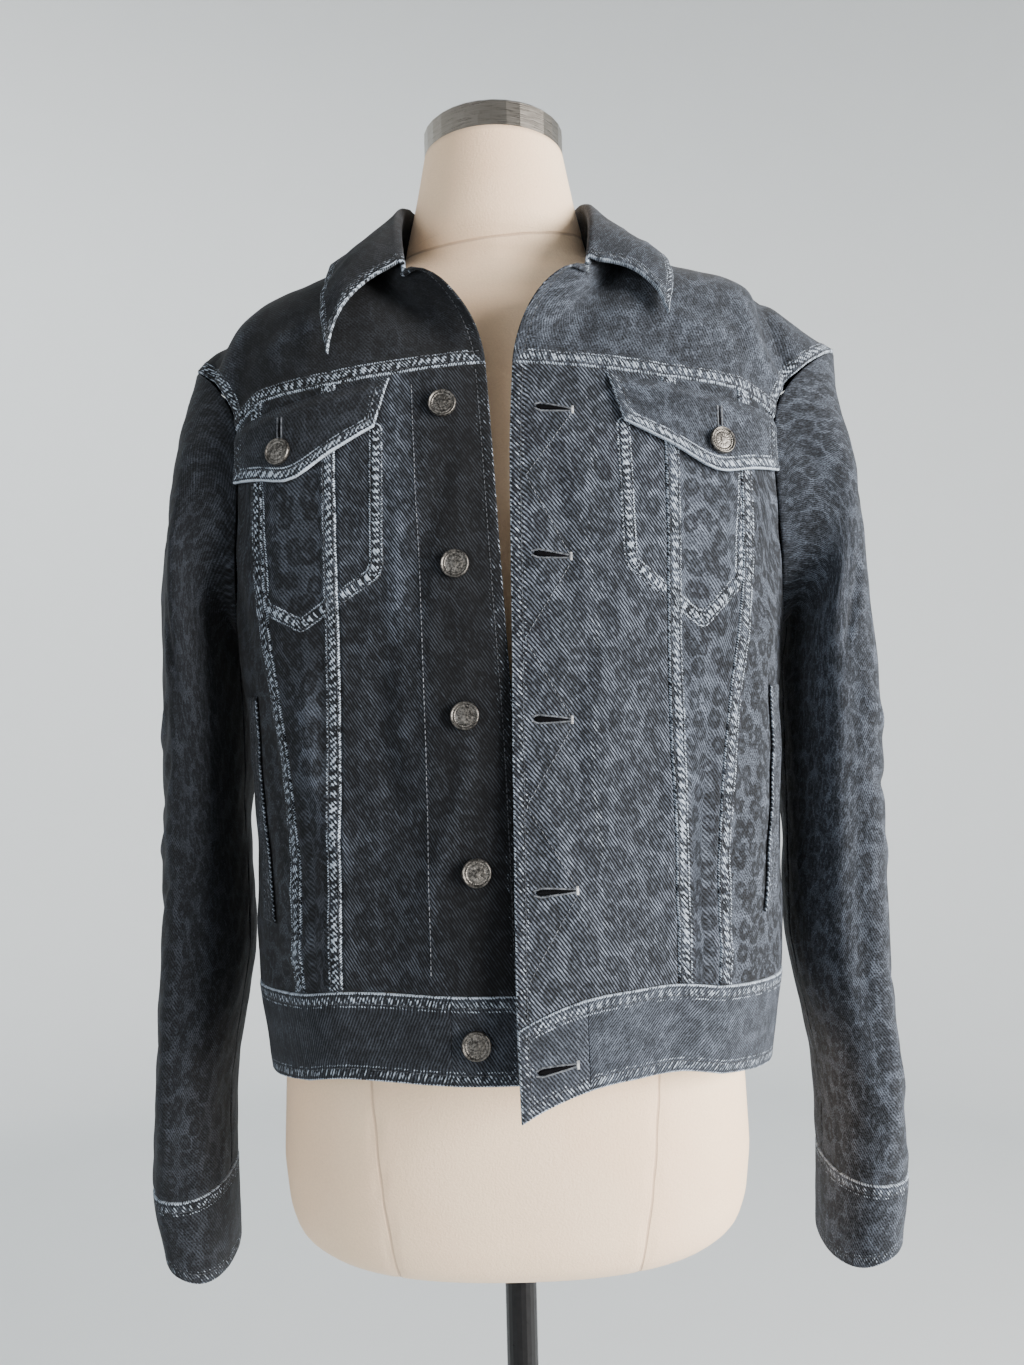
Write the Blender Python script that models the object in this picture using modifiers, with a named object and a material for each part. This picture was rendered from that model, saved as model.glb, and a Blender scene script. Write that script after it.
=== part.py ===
"""A leopard-print denim jacket hanging on a limbless dress form with a round stand.

Units are metres, +Z is up, -Y is the jacket's front and +X the wearer's left. The origin lies on
the floor under the pole. Names ending in _r are on the wearer's right and _l on the left.

The jacket's body is one smooth surface for each front and one for the back. Whole numbers of its
two parameters, column and row, are the grid lines, and every seam is a grid line, so each cut
panel is a block of that grid with a wall behind it.
"""

from collections import namedtuple
import math

import bmesh
import bpy
from mathutils import Vector
import numpy as np

# Cloth and seams
CLOTH = 0.0016
DOUBLE_CLOTH = 0.0024
SEAM_GAP = 0.0003
LAID_ON = 0.0009
BEHIND_GAP = 0.0008
# How far the waistband and cuffs stand out beyond the single cloth
BAND_OUT = 0.0004

# Heights that the jacket's grid is built on
HEM_SIDE = 0.905
HEM_FRONT = 0.930
HEM_BACK = 0.900
BAND_SIDE = 0.9645
BAND_FRONT = 0.981
BAND_BACK = 0.957
EDGE_DIP_LEFT = 0.015
UNDERARM = 1.190
ARMHOLE_TOP = 1.386
YOKE_FRONT = 1.355
YOKE_DROP = 0.029
YOKE_BACK = 1.345
YOKE_BACK_DROP = 0.012
ARM_DEPTH_FRONT = 0.066
ARM_DEPTH_BACK = 0.078

# Grid columns of one front: edge to first seam, to second seam, to side
FRONT_CENTRE, FRONT_MID, FRONT_SIDE = 5, 2, 5
FRONT_COLUMNS = FRONT_CENTRE + FRONT_MID + FRONT_SIDE
FRONT_SEAMS = (0, FRONT_CENTRE, FRONT_CENTRE + FRONT_MID, FRONT_COLUMNS)
TAB_COLUMN = 2
NECK_COLUMN = 3
# Grid columns of half the back: centre to seam, to side
BACK_CENTRE, BACK_SIDE = 4, 6
BACK_COLUMNS = BACK_CENTRE + BACK_SIDE
BACK_NECK_COLUMN = 3.4
# The shoulder's first part, SHOULDER_SHARE of its length, ends at these columns
SHOULDER_SHARE = 0.6
FRONT_SHOULDER_COLUMN = FRONT_CENTRE + FRONT_MID
BACK_SHOULDER_COLUMN = 6.5
# Grid rows: waistband, up to the underarm, up to the yoke, yoke
BAND_ROW = 2
UNDERARM_ROW = BAND_ROW + 7
YOKE_ROW = UNDERARM_ROW + 5
TOP_ROW = YOKE_ROW + 5
ARMHOLE_STEPS = TOP_ROW - UNDERARM_ROW
CHEST_SPREAD = 1.5
SLEEVE_COLUMNS = 2 * ARMHOLE_STEPS
SLEEVE_ROWS = 16
CUFF_ROWS = 2
CUFF_COLUMNS = SLEEVE_COLUMNS + 1
SLEEVE_SET_IN = 0.03

SEAM_1_X = 0.100
Seam2 = namedtuple("Seam2", "height x")
SEAM_2 = (
    Seam2(0.90, 0.124),
    Seam2(0.985, 0.124),
    Seam2(1.05, 0.125),
    Seam2(1.145, 0.1355),
    Seam2(1.21, 0.1455),
    Seam2(1.285, 0.149),
    Seam2(1.36, 0.150),
)
BackSeam = namedtuple("BackSeam", "height x")
BACK_SEAM = (BackSeam(0.90, 0.058), BackSeam(0.96, 0.060), BackSeam(1.15, 0.078), BackSeam(1.35, 0.098))

# The body's outline: half widths, depths before and behind the axis, and how square the ring is
BodyRing = namedtuple("BodyRing", "height right left front back square")
BODY_RINGS = (
    BodyRing(0.900, 0.164, 0.174, 0.139, 0.117, 2.30),
    BodyRing(0.935, 0.168, 0.179, 0.140, 0.120, 2.30),
    BodyRing(0.965, 0.1725, 0.184, 0.139, 0.122, 2.30),
    BodyRing(1.060, 0.1750, 0.1875, 0.133, 0.120, 2.35),
    BodyRing(1.130, 0.1785, 0.1885, 0.125, 0.120, 2.40),
    BodyRing(1.190, 0.1845, 0.1910, 0.120, 0.124, 2.50),
    BodyRing(1.250, 0.1865, 0.1935, 0.116, 0.128, 2.65),
    BodyRing(1.310, 0.1860, 0.1940, 0.108, 0.127, 2.80),
    BodyRing(1.360, 0.1840, 0.1930, 0.098, 0.120, 2.80),
)
# Where each front edge lies, and how far the left edge stands out in front of the right one
FrontEdge = namedtuple("FrontEdge", "height right left flare")
FRONT_EDGES = (
    FrontEdge(0.90, 0.0090, 0.0040, 0.0180),
    FrontEdge(0.98, 0.0085, 0.0022, 0.0140),
    FrontEdge(1.06, 0.0070, 0.0028, 0.0090),
    FrontEdge(1.14, 0.0045, 0.0036, 0.0055),
    FrontEdge(1.18, 0.0022, 0.0044, 0.0035),
    FrontEdge(1.24, -0.0010, 0.0050, 0.0020),
    FrontEdge(1.31, -0.0045, 0.0062, 0.0008),
    FrontEdge(1.36, -0.0075, 0.0090, 0.0),
)
# The shoulder seam from the neck (out 0) to the sleeve head (out 1)
Shoulder = namedtuple("Shoulder", "out right_x right_z left_x left_z")
SHOULDER = (
    Shoulder(0.00, 0.072, 1.4560, 0.072, 1.4560),
    Shoulder(0.38, 0.120, 1.4395, 0.122, 1.4440),
    Shoulder(0.65, 0.158, 1.4250, 0.162, 1.4330),
    Shoulder(0.77, 0.173, 1.4145, 0.180, 1.4220),
    Shoulder(0.90, 0.194, 1.3960, 0.211, 1.3985),
    Shoulder(1.00, 0.2095, 1.3800, 0.2335, 1.3835),
)
# The neck seam and the collar's fold from the centre back (around 0) to the front end (around 1)
Neck = namedtuple("Neck", "around seam_x seam_y seam_z fold_x fold_y fold_z")
NECK = (
    Neck(0.00, 0.000, 0.070, 1.4640, 0.0000, 0.067, 1.5050),
    Neck(0.17, 0.032, 0.064, 1.4630, 0.0270, 0.061, 1.5050),
    Neck(0.34, 0.060, 0.040, 1.4600, 0.0490, 0.038, 1.5030),
    Neck(0.50, 0.072, 0.004, 1.4560, 0.0582, 0.004, 1.4970),
    Neck(0.67, 0.071, -0.030, 1.4455, 0.0602, -0.030, 1.4790),
    Neck(0.84, 0.064, -0.060, 1.4305, 0.0592, -0.060, 1.4545),
    Neck(1.00, 0.056, -0.085, 1.4130, 0.0560, -0.083, 1.4260),
)
# How the yokes arrive at the neck and at the shoulder seam, and how full they are on the way
FRONT_NECK_SLOPE = np.array([-0.35, 0.70, 0.45])
BACK_NECK_SLOPE = np.array([0.0, -0.55, 0.85])
SHOULDER_SLOPE = np.array([0.0, 1.0, 0.04])
# How far the front yokes swing inward as they arrive near the corner of neck and shoulder
CORNER_SWING = np.array([-0.75, 0.0, 0.0])
CORNER_FADE = 2.6
YOKE_RISE = 1.15
YOKE_OVER = 1.50
YOKE_OVER_NECK = 0.85
NECK_BLEND = 0.75
# The open neck corners: how far the front edge turns out and curls forward, over these columns
EDGE_TURN = 1.3
EDGE_CURL = 0.008
EDGE_COLUMNS = 1.8
# Where the collar's outer edge lies on the yokes: grid columns, rows below the top, lift, bulge
LeafEdge = namedtuple("LeafEdge", "around right left down_right down_left lift bulge")
LEAF_EDGE = (
    LeafEdge(0.00, 0.00, 0.00, 1.60, 1.60, 0.0015, 0.003),
    LeafEdge(0.17, 1.55, 1.60, 1.55, 1.55, 0.0030, 0.002),
    LeafEdge(0.34, 2.65, 2.90, 1.25, 1.25, 0.0036, 0.000),
    LeafEdge(0.50, 3.45, 4.20, 0.00, 0.00, 0.0012, -0.003),
    LeafEdge(0.67, 4.35, 4.80, 1.40, 1.30, 0.0012, -0.001),
    LeafEdge(0.84, 5.15, 5.20, 2.85, 2.55, 0.0030, 0.005),
    LeafEdge(1.00, 5.10, 5.10, 4.45, 3.75, 0.0050, 0.010),
)
COLLAR_FOLD_RADIUS = 0.0034
COLLAR_TOP_ROW = 4
# How much higher the stand's outer side ends than its inner side, where it leans on the yokes
COLLAR_FOOT = 0.0010
COLLAR_SEAM_GAP = 0.0009

# Sleeve rings below the armhole; rise is how much higher the outer side is than the inner
SleeveRing = namedtuple("SleeveRing", "height rise right_x right_half left_x left_half front back")
SLEEVE_RINGS = (
    SleeveRing(1.262, 0.062, 0.2045, 0.0165, 0.2160, 0.0170, 0.069, 0.079),
    SleeveRing(1.205, 0.034, 0.2095, 0.0220, 0.2175, 0.0220, 0.073, 0.081),
    SleeveRing(1.145, 0.014, 0.2100, 0.0240, 0.2210, 0.0260, 0.072, 0.078),
    SleeveRing(1.065, 0.006, 0.2110, 0.0255, 0.2235, 0.0280, 0.066, 0.071),
    SleeveRing(0.975, 0.000, 0.2125, 0.0265, 0.2260, 0.0290, 0.059, 0.062),
    SleeveRing(0.890, 0.000, 0.2230, 0.0230, 0.2375, 0.0250, 0.053, 0.055),
    SleeveRing(0.822, 0.000, 0.2265, 0.0245, 0.2415, 0.0265, 0.047, 0.050),
    SleeveRing(0.769, 0.009, 0.2220, 0.0205, 0.2385, 0.0245, 0.045, 0.048),
)
CUFF_SEAM_RING = 7
CUFF_LAP_COLUMNS = 1.0
CUFF_LAP_START = 15.5
CUFF_LAP_LIFT = 0.0032
SLEEVE_BACK_SEAM = 15
SLEEVE_SQUARE = 2.3

# Soft folds pressed into the body (bearing 0 at the centre front, 180 at the centre back)
BodyFold = namedtuple("BodyFold", "side bearing height turn wide tall depth")
BODY_FOLDS = (
    BodyFold(-1, 24, 1.08, 0, 9, 0.16, -0.0045),
    BodyFold(-1, 44, 1.10, 30, 8, 0.15, 0.0035),
    BodyFold(-1, 66, 1.12, -20, 14, 0.11, -0.0035),
    BodyFold(1, 30, 1.06, 0, 10, 0.17, -0.0040),
    BodyFold(1, 48, 1.12, 30, 9, 0.14, 0.0035),
    BodyFold(1, 68, 1.10, -20, 17, 0.12, -0.0024),
    BodyFold(-1, 128, 1.12, 20, 12, 0.16, -0.0050),
    BodyFold(1, 124, 1.10, -20, 12, 0.16, -0.0050),
    BodyFold(-1, 160, 1.16, 0, 9, 0.18, 0.0040),
    BodyFold(1, 163, 1.12, 0, 10, 0.17, 0.0040),
)
# Long and crosswise folds of the sleeves; around counts columns from the sleeve's outer line
SleeveFold = namedtuple("SleeveFold", "side around row slant wide tall depth")
SLEEVE_FOLDS = (
    SleeveFold(-1, 3.0, 5.0, 0.00, 1.3, 5.0, -0.0050),
    SleeveFold(-1, 5.5, 9.0, 0.15, 1.4, 3.0, -0.0045),
    SleeveFold(-1, 17.0, 6.0, 0.00, 1.5, 5.0, -0.0050),
    SleeveFold(-1, 13.0, 10.0, 0.90, 1.6, 1.5, -0.0050),
    SleeveFold(-1, 4.0, 13.0, 0.25, 1.4, 2.6, 0.0040),
    SleeveFold(1, 2.6, 6.0, 0.10, 1.3, 5.5, 0.0045),
    SleeveFold(1, 4.6, 8.0, 0.00, 1.4, 5.0, -0.0050),
    SleeveFold(1, 16.5, 6.0, 0.00, 1.5, 5.0, -0.0050),
    SleeveFold(1, 13.5, 10.5, 0.90, 1.6, 1.5, -0.0050),
    SleeveFold(1, 3.4, 13.0, 0.20, 1.4, 2.6, 0.0040),
)

# Chest flap and pocket outlines: x at the inner end, and how far out each corner is (0 to 1)
FlapEdge = namedtuple("FlapEdge", "out x_low height")
FLAP_TOP_X = 0.066
FLAP_LOW = (
    FlapEdge(0.00, 0.075, 1.3155),
    FlapEdge(0.30, 0.105, 1.3005),
    FlapEdge(0.58, 0.133, 1.2860),
    FlapEdge(0.80, 0.152, 1.2885),
    FlapEdge(1.00, 0.170, 1.2905),
)
FLAP_START_COLUMN = 4.0
FLAP_END_COLUMN = 11.6
FLAP_COLUMNS = 8
FLAP_ROWS = 4
FLAP_WALL = 0.0020
FLAP_BELOW_SEAM = 0.0012
PocketEdge = namedtuple("PocketEdge", "out x_low height")
POCKET_TOP_X = 0.070
POCKET_TOP = 1.338
POCKET_LOW = (
    PocketEdge(0.00, 0.0735, 1.2270),
    PocketEdge(0.20, 0.088, 1.2125),
    PocketEdge(0.55, 0.122, 1.1925),
    PocketEdge(0.85, 0.143, 1.2070),
    PocketEdge(1.00, 0.152, 1.2160),
)
POCKET_TOP_OUT = 0.160
POCKET_WALL = 0.0010
POCKET_COLUMNS = 7
POCKET_ROWS = 6
Welt = namedtuple("Welt", "height share")
WELT = (Welt(1.014, 0.860), Welt(1.058, 0.893), Welt(1.1245, 0.925), Welt(1.155, 0.905))
WELT_WIDTH = 0.011
WELT_WALL = 0.0014
WELT_ROWS = 7

# Metal tack buttons
BUTTON_RADIUS = 0.0085
BUTTON_HEIGHT = 0.0032
BUTTON_SIDES = 14
FrontButton = namedtuple("FrontButton", "x height")
FRONT_BUTTONS = (
    FrontButton(0.034, 1.329),
    FrontButton(0.028, 1.231),
    FrontButton(0.024, 1.141),
    FrontButton(0.019, 1.051),
    FrontButton(0.021, 0.954),
)
FLAP_BUTTON = FrontButton(0.134, 1.3045)

# Dress form and stand
FormRing = namedtuple("FormRing", "height half front back square")
FORM_RINGS = (
    FormRing(0.787, 0.130, 0.080, 0.076, 2.4),
    FormRing(0.790, 0.142, 0.092, 0.088, 2.4),
    FormRing(0.799, 0.152, 0.102, 0.099, 2.4),
    FormRing(0.815, 0.157, 0.108, 0.106, 2.4),
    FormRing(0.845, 0.1600, 0.110, 0.109, 2.4),
    FormRing(0.900, 0.1580, 0.108, 0.109, 2.35),
    FormRing(0.980, 0.1470, 0.100, 0.098, 2.3),
    FormRing(1.060, 0.1340, 0.089, 0.088, 2.25),
    FormRing(1.140, 0.1380, 0.092, 0.094, 2.25),
    FormRing(1.220, 0.1490, 0.103, 0.104, 2.3),
    FormRing(1.280, 0.1560, 0.102, 0.108, 2.4),
    FormRing(1.340, 0.1610, 0.088, 0.104, 2.5),
    FormRing(1.385, 0.1640, 0.073, 0.092, 2.5),
    FormRing(1.410, 0.1630, 0.058, 0.068, 2.3),
)
# The shoulder ridge of the form lies this far below the right shoulder seam
RidgeRing = namedtuple("RidgeRing", "x below front back square")
FORM_RIDGE = (
    RidgeRing(0.156, 0.0025, 0.047, 0.051, 2.00),
    RidgeRing(0.132, 0.0028, 0.047, 0.050, 1.75),
    RidgeRing(0.106, 0.0032, 0.045, 0.049, 1.50),
    RidgeRing(0.084, 0.0052, 0.0425, 0.049, 1.50),
)
FORM_NECK = (
    FormRing(1.4525, 0.0655, 0.0465, 0.052, 1.75),
    FormRing(1.4700, 0.0608, 0.055, 0.056, 2.0),
    FormRing(1.4900, 0.0560, 0.054, 0.055, 2.0),
    FormRing(1.5100, 0.0520, 0.051, 0.0515, 2.0),
    FormRing(1.5275, 0.0487, 0.0487, 0.0487, 2.0),
)
FORM_SIDES = 32
CAP_RADIUS = 0.0487
CAP_TOP = 1.545
CAP_BEVEL = 0.0015
POLE_RADIUS = 0.011
BASE_RADIUS = 0.170
BASE_HEIGHT = 0.012
BASE_RIM = 0.006
SOCKET_RADIUS = 0.019
SOCKET_HEIGHT = 0.040
TURNED_SIDES = 32

RIGHT, LEFT = -1, 1


# ---- tables and curves ----

def hermite(start, end, slope_start, slope_end, t):
    """Cubic between two values with given slopes, t from 0 to 1."""
    t2 = t * t
    t3 = t2 * t
    return (
        (2 * t3 - 3 * t2 + 1) * start
        + (t3 - 2 * t2 + t) * slope_start
        + (3 * t2 - 2 * t3) * end
        + (t3 - t2) * slope_end
    )


def read(rows, name, at):
    """The named column of a table as a smooth function of its first column."""
    keys = np.array([row[0] for row in rows])
    values = np.array([getattr(row, name) for row in rows])
    slopes = np.gradient(values, keys)
    at = np.clip(at, keys[0], keys[-1])
    i = np.clip(np.searchsorted(keys, at, side="right") - 1, 0, len(keys) - 2)
    width = keys[i + 1] - keys[i]
    return hermite(values[i], values[i + 1], slopes[i] * width, slopes[i + 1] * width, (at - keys[i]) / width)


def smooth_step(t):
    t = np.clip(t, 0.0, 1.0)
    return t * t * (3 - 2 * t)


def unit(vectors):
    return vectors / np.maximum(np.linalg.norm(vectors, axis=-1, keepdims=True), 1e-12)


def point(x, y, z):
    return np.stack(np.broadcast_arrays(x, y, z), axis=-1).astype(float)


# ---- the jacket's body ----

def half_width(side, z):
    return read(BODY_RINGS, "left" if side == LEFT else "right", z)


def bearing_at_x(side, x, z):
    """Angle on the front ring, 0 at the centre front, where the ring is x wide."""
    square = read(BODY_RINGS, "square", z)
    share = np.clip(np.abs(x) / half_width(side, z), 0, 0.9999) ** square
    return np.sign(x) * np.arctan((share / (1 - share)) ** (1 / square))


def bearing_at_y(depth, y, square):
    """Angle on a ring of this depth where it is y deep."""
    share = np.clip(y / depth, 1e-6, 1) ** square
    return np.arctan(((1 - share) / share) ** (1 / square))


def armhole_depth(z, depth):
    middle = (ARMHOLE_TOP + UNDERARM) / 2
    reach = (ARMHOLE_TOP - UNDERARM) / 2
    return depth * np.sqrt(np.clip(1 - ((z - middle) / reach) ** 2, 0, 1))


def body_relief(side, bearing, z):
    """How far the soft folds move the cloth out (positive) at a bearing in degrees."""
    moved = np.zeros(np.broadcast(bearing, z).shape)
    for fold in BODY_FOLDS:
        if fold.side != side:
            continue
        rise = (z - fold.height) / fold.tall
        across = (bearing - fold.bearing - fold.turn * (z - fold.height)) / fold.wide
        moved = moved + fold.depth * np.exp(-(across**2) - rise**4)
    return moved


def ring_point(side, bearing, z, front):
    """Point of the body ring; bearing runs from 0 at the centre to 90 degrees at the side."""
    square = read(BODY_RINGS, "square", z)
    depth = read(BODY_RINGS, "front" if front else "back", z)
    sine, cosine = np.sin(bearing), np.cos(bearing)
    reach = (np.abs(sine) ** square + np.abs(cosine) ** square) ** (-1 / square)
    degrees = np.degrees(bearing) if front else 180 - np.degrees(bearing)
    moved = body_relief(side, degrees, z)
    x = side * (half_width(side, z) * reach + moved) * sine
    y = (depth * reach + moved) * cosine
    return point(x, -y if front else y, z)


def front_height(side, u, v):
    """Height of a grid point of a front, up to the yoke seam."""
    lift = 1 - smooth_step((u - 4) / 8)
    dip = EDGE_DIP_LEFT * np.clip(1 - u / 3, 0, 1) ** 2 if side == LEFT else 0.0
    hem = HEM_SIDE + (HEM_FRONT - HEM_SIDE) * lift - dip
    band = BAND_SIDE + (BAND_FRONT - BAND_SIDE) * lift - dip
    yoke = YOKE_FRONT - YOKE_DROP * np.clip(u / FRONT_COLUMNS, 0, 1) ** 1.3
    return stacked_height(v, hem, band, yoke)


def stacked_height(v, hem, band, yoke):
    in_band = np.clip(v / BAND_ROW, 0, 1)
    in_body = np.clip((v - BAND_ROW) / (UNDERARM_ROW - BAND_ROW), 0, 1)
    in_chest = np.clip((v - UNDERARM_ROW) / (YOKE_ROW - UNDERARM_ROW), 0, 1) ** CHEST_SPREAD
    return hem + (band - hem) * in_band + (UNDERARM - band) * in_body + (yoke - UNDERARM) * in_chest


def front_bearing(side, u, z):
    edge_x = read(FRONT_EDGES, "left" if side == LEFT else "right", z) * side
    edge = bearing_at_x(side, edge_x, z)
    seam_1 = bearing_at_x(side, SEAM_1_X, z)
    seam_2 = bearing_at_x(side, read(SEAM_2, "x", z), z)
    depth = read(BODY_RINGS, "front", z)
    square = read(BODY_RINGS, "square", z)
    side_line = bearing_at_y(depth, armhole_depth(z, ARM_DEPTH_FRONT), square)
    in_centre = np.clip(u / FRONT_CENTRE, 0, 1)
    in_mid = np.clip((u - FRONT_CENTRE) / FRONT_MID, 0, 1)
    in_side = np.clip((u - FRONT_CENTRE - FRONT_MID) / FRONT_SIDE, 0, 1)
    return edge + (seam_1 - edge) * in_centre + (seam_2 - seam_1) * in_mid + (side_line - seam_2) * in_side


def front_at(side, u, z):
    """Point of a front below the yoke, from its column and height."""
    found = ring_point(side, front_bearing(side, u, z), z, True)
    flare = read(FRONT_EDGES, "flare", z) * np.clip(1 - u / FRONT_CENTRE, 0, 1) ** 1.5
    found[..., 1] -= flare * (side == LEFT)
    return found


def shoulder_point(side, out):
    name = "left" if side == LEFT else "right"
    x = read(SHOULDER, name + "_x", out)
    z = read(SHOULDER, name + "_z", out)
    return point(side * x, 0.004 * (1 - np.clip(out, 0, 1)), z)


def neck_point(side, around, which="seam"):
    x = read(NECK, which + "_x", around)
    return point(side * x, read(NECK, which + "_y", around), read(NECK, which + "_z", around))


def shoulder_share(u, neck, middle, end):
    """How far out along the shoulder a column ends."""
    return np.interp(u, (neck, middle, end), (0.0, SHOULDER_SHARE, 1.0))


def yoke_patch(bottom, lean, top, past_neck, t, neck_slope, shoulder_slope, turn=0.0):
    """Cloth from a yoke seam up and over to the shoulder or neck seam, t from 0 to 1.

    The slopes are the directions in which it arrives; turn bends the front edge's end outward.
    """
    span = np.linalg.norm(top - bottom, axis=-1, keepdims=True)
    rise = unit(lean) * span * YOKE_RISE
    at_shoulder = smooth_step(past_neck / 2 + NECK_BLEND)[..., None]
    over = neck_slope + (shoulder_slope - neck_slope) * at_shoulder
    fullness = YOKE_OVER_NECK + (YOKE_OVER - YOKE_OVER_NECK) * at_shoulder
    over = over + point(turn, 0.0, -0.6 * np.abs(turn))
    over = unit(over) * span * fullness
    return hermite(bottom, top, rise, over, t[..., None])


def front_surface(side, u, v):
    """The outer face of a front at grid column u and row v."""
    u, v = np.broadcast_arrays(np.asarray(u, float), np.asarray(v, float))
    z = front_height(side, u, v)
    found = front_at(side, u, z)
    t = np.clip((v - YOKE_ROW) / (TOP_ROW - YOKE_ROW), 0, 1)
    lean = front_at(side, u, z) - front_at(side, u, z - 0.004)
    at_neck = u < NECK_COLUMN
    around = 1 - 0.5 * np.clip(u / NECK_COLUMN, 0, 1)
    out = shoulder_share(u, NECK_COLUMN, FRONT_SHOULDER_COLUMN, FRONT_COLUMNS)
    top = np.where(at_neck[..., None], neck_point(side, around), shoulder_point(side, out))
    near_edge = np.clip(1 - u / EDGE_COLUMNS, 0, 1) ** 2
    mirror = np.array([side, 1.0, 1.0])
    turn = side * EDGE_TURN * near_edge
    near_corner = smooth_step(u / 2) * (1 - smooth_step((u - NECK_COLUMN) / CORNER_FADE))
    swing = CORNER_SWING * mirror * near_corner[..., None]
    neck_slope, shoulder_slope = FRONT_NECK_SLOPE * mirror + swing, SHOULDER_SLOPE + swing
    yoke = yoke_patch(found, lean, top, u - NECK_COLUMN, t, neck_slope, shoulder_slope, turn)
    yoke[..., 1] -= EDGE_CURL * near_edge * smooth_step(2.2 * t) * smooth_step(2.5 * (1.15 - t))
    return np.where((v > YOKE_ROW)[..., None], yoke, found)


def back_at(side, u, z):
    seam = bearing_at_x(side, read(BACK_SEAM, "x", z), z)
    depth = read(BODY_RINGS, "back", z)
    square = read(BODY_RINGS, "square", z)
    side_line = bearing_at_y(depth, armhole_depth(z, ARM_DEPTH_BACK), square)
    in_centre = np.clip(u / BACK_CENTRE, 0, 1)
    in_side = np.clip((u - BACK_CENTRE) / BACK_SIDE, 0, 1)
    return ring_point(side, seam * in_centre + (side_line - seam) * in_side, z, False)


def half_back(side, u, v):
    share = smooth_step(u / BACK_COLUMNS)
    hem = HEM_BACK + (HEM_SIDE - HEM_BACK) * share
    band = BAND_BACK + (BAND_SIDE - BAND_BACK) * share
    yoke = YOKE_BACK - YOKE_BACK_DROP * (u / BACK_COLUMNS) ** 2
    z = stacked_height(v, hem, band, yoke)
    found = back_at(side, u, z)
    t = np.clip((v - YOKE_ROW) / (TOP_ROW - YOKE_ROW), 0, 1)
    lean = back_at(side, u, z) - back_at(side, u, z - 0.004)
    at_neck = u < BACK_NECK_COLUMN
    around = 0.5 * np.clip(u / BACK_NECK_COLUMN, 0, 1)
    out = shoulder_share(u, BACK_NECK_COLUMN, BACK_SHOULDER_COLUMN, BACK_COLUMNS)
    top = np.where(at_neck[..., None], neck_point(side, around), shoulder_point(side, out))
    over_back = SHOULDER_SLOPE * np.array([1.0, -1.0, 1.0])
    yoke_part = yoke_patch(found, lean, top, u - BACK_NECK_COLUMN, t, BACK_NECK_SLOPE, over_back)
    return np.where((v > YOKE_ROW)[..., None], yoke_part, found)


def back_surface(u, v):
    """The outer face of the back; u runs from the right side (negative) to the left side."""
    u, v = np.broadcast_arrays(np.asarray(u, float), np.asarray(v, float))
    right = half_back(RIGHT, np.clip(-u, 0, None), v)
    left = half_back(LEFT, np.clip(u, 0, None), v)
    return np.where((u < 0)[..., None], right, left)


def normals(surface, u, v, u_ends, v_ends, inside):
    """Outward unit normals of a surface, from small steps kept within its ends."""
    step = 1e-3
    across = surface(np.clip(u + step, *u_ends), v) - surface(np.clip(u - step, *u_ends), v)
    along = surface(u, np.clip(v + step, *v_ends)) - surface(u, np.clip(v - step, *v_ends))
    found = unit(np.cross(across, along))
    outward = np.sum(found * (surface(u, v) - inside), axis=-1, keepdims=True)
    return found * np.sign(outward)


# ---- sleeves ----

def armhole_loop(side, around):
    """The armhole: 0 at the sleeve head, down the front, and up the back from ARMHOLE_STEPS on."""
    around = np.mod(around, SLEEVE_COLUMNS)
    front = front_surface(side, FRONT_COLUMNS, np.clip(TOP_ROW - around, UNDERARM_ROW, TOP_ROW))
    back_row = np.clip(UNDERARM_ROW + around - ARMHOLE_STEPS, UNDERARM_ROW, TOP_ROW)
    back = back_surface(side * BACK_COLUMNS, back_row)
    return np.where((around <= ARMHOLE_STEPS)[..., None], front, back)


def sleeve_ring(side, ring, around):
    """One ring of the sleeve table, with the same columns as the armhole."""
    name = "left" if side == LEFT else "right"
    angle = 2 * math.pi * around / SLEEVE_COLUMNS
    sine, cosine = np.sin(angle), np.cos(angle)
    reach = (np.abs(sine) ** SLEEVE_SQUARE + np.abs(cosine) ** SLEEVE_SQUARE) ** (-1 / SLEEVE_SQUARE)
    x = getattr(ring, name + "_x") + getattr(ring, name + "_half") * reach * cosine
    y = -np.where(sine > 0, ring.front, ring.back) * reach * sine
    return point(side * x, y, ring.height + ring.rise * cosine)


def sleeve_relief(side, around, row):
    moved = np.zeros(np.broadcast(around, row).shape)
    for fold in SLEEVE_FOLDS:
        if fold.side != side:
            continue
        along = (row - fold.row) / fold.tall
        turned = np.mod(around - fold.around - fold.slant * (row - fold.row) + 10, 20) - 10
        moved = moved + fold.depth * np.exp(-((turned / fold.wide) ** 2) - along**4)
    return moved * smooth_step(row / 3) * smooth_step((SLEEVE_ROWS - row) / 1.5)


def sleeve_surface(side, around, row):
    """The sleeve's outer face from the armhole (row 0) to the cuff's end."""
    around, row = np.broadcast_arrays(np.asarray(around, float), np.asarray(row, float))
    rings = [armhole_loop(side, around)]
    rings += [sleeve_ring(side, ring, around) for ring in SLEEVE_RINGS]
    rings = np.array(rings)
    body_keys = np.clip(row, 0, SLEEVE_ROWS) / SLEEVE_ROWS * CUFF_SEAM_RING
    cuff_keys = np.clip(row - SLEEVE_ROWS, 0, CUFF_ROWS) / CUFF_ROWS
    key = np.clip(body_keys + cuff_keys, 0, len(rings) - 1)
    slopes = np.gradient(rings, axis=0)
    i = np.clip(np.floor(key).astype(int), 0, len(rings) - 2)
    take = tuple(np.indices(i.shape))
    t = (key - i)[..., None]
    found = hermite(rings[(i,) + take], rings[(i + 1,) + take], slopes[(i,) + take], slopes[(i + 1,) + take], t)
    angle = 2 * math.pi * around / SLEEVE_COLUMNS
    outward = point(side * np.cos(angle), -np.sin(angle), 0.0)
    return found + outward * sleeve_relief(side, around, row)[..., None]


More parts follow.
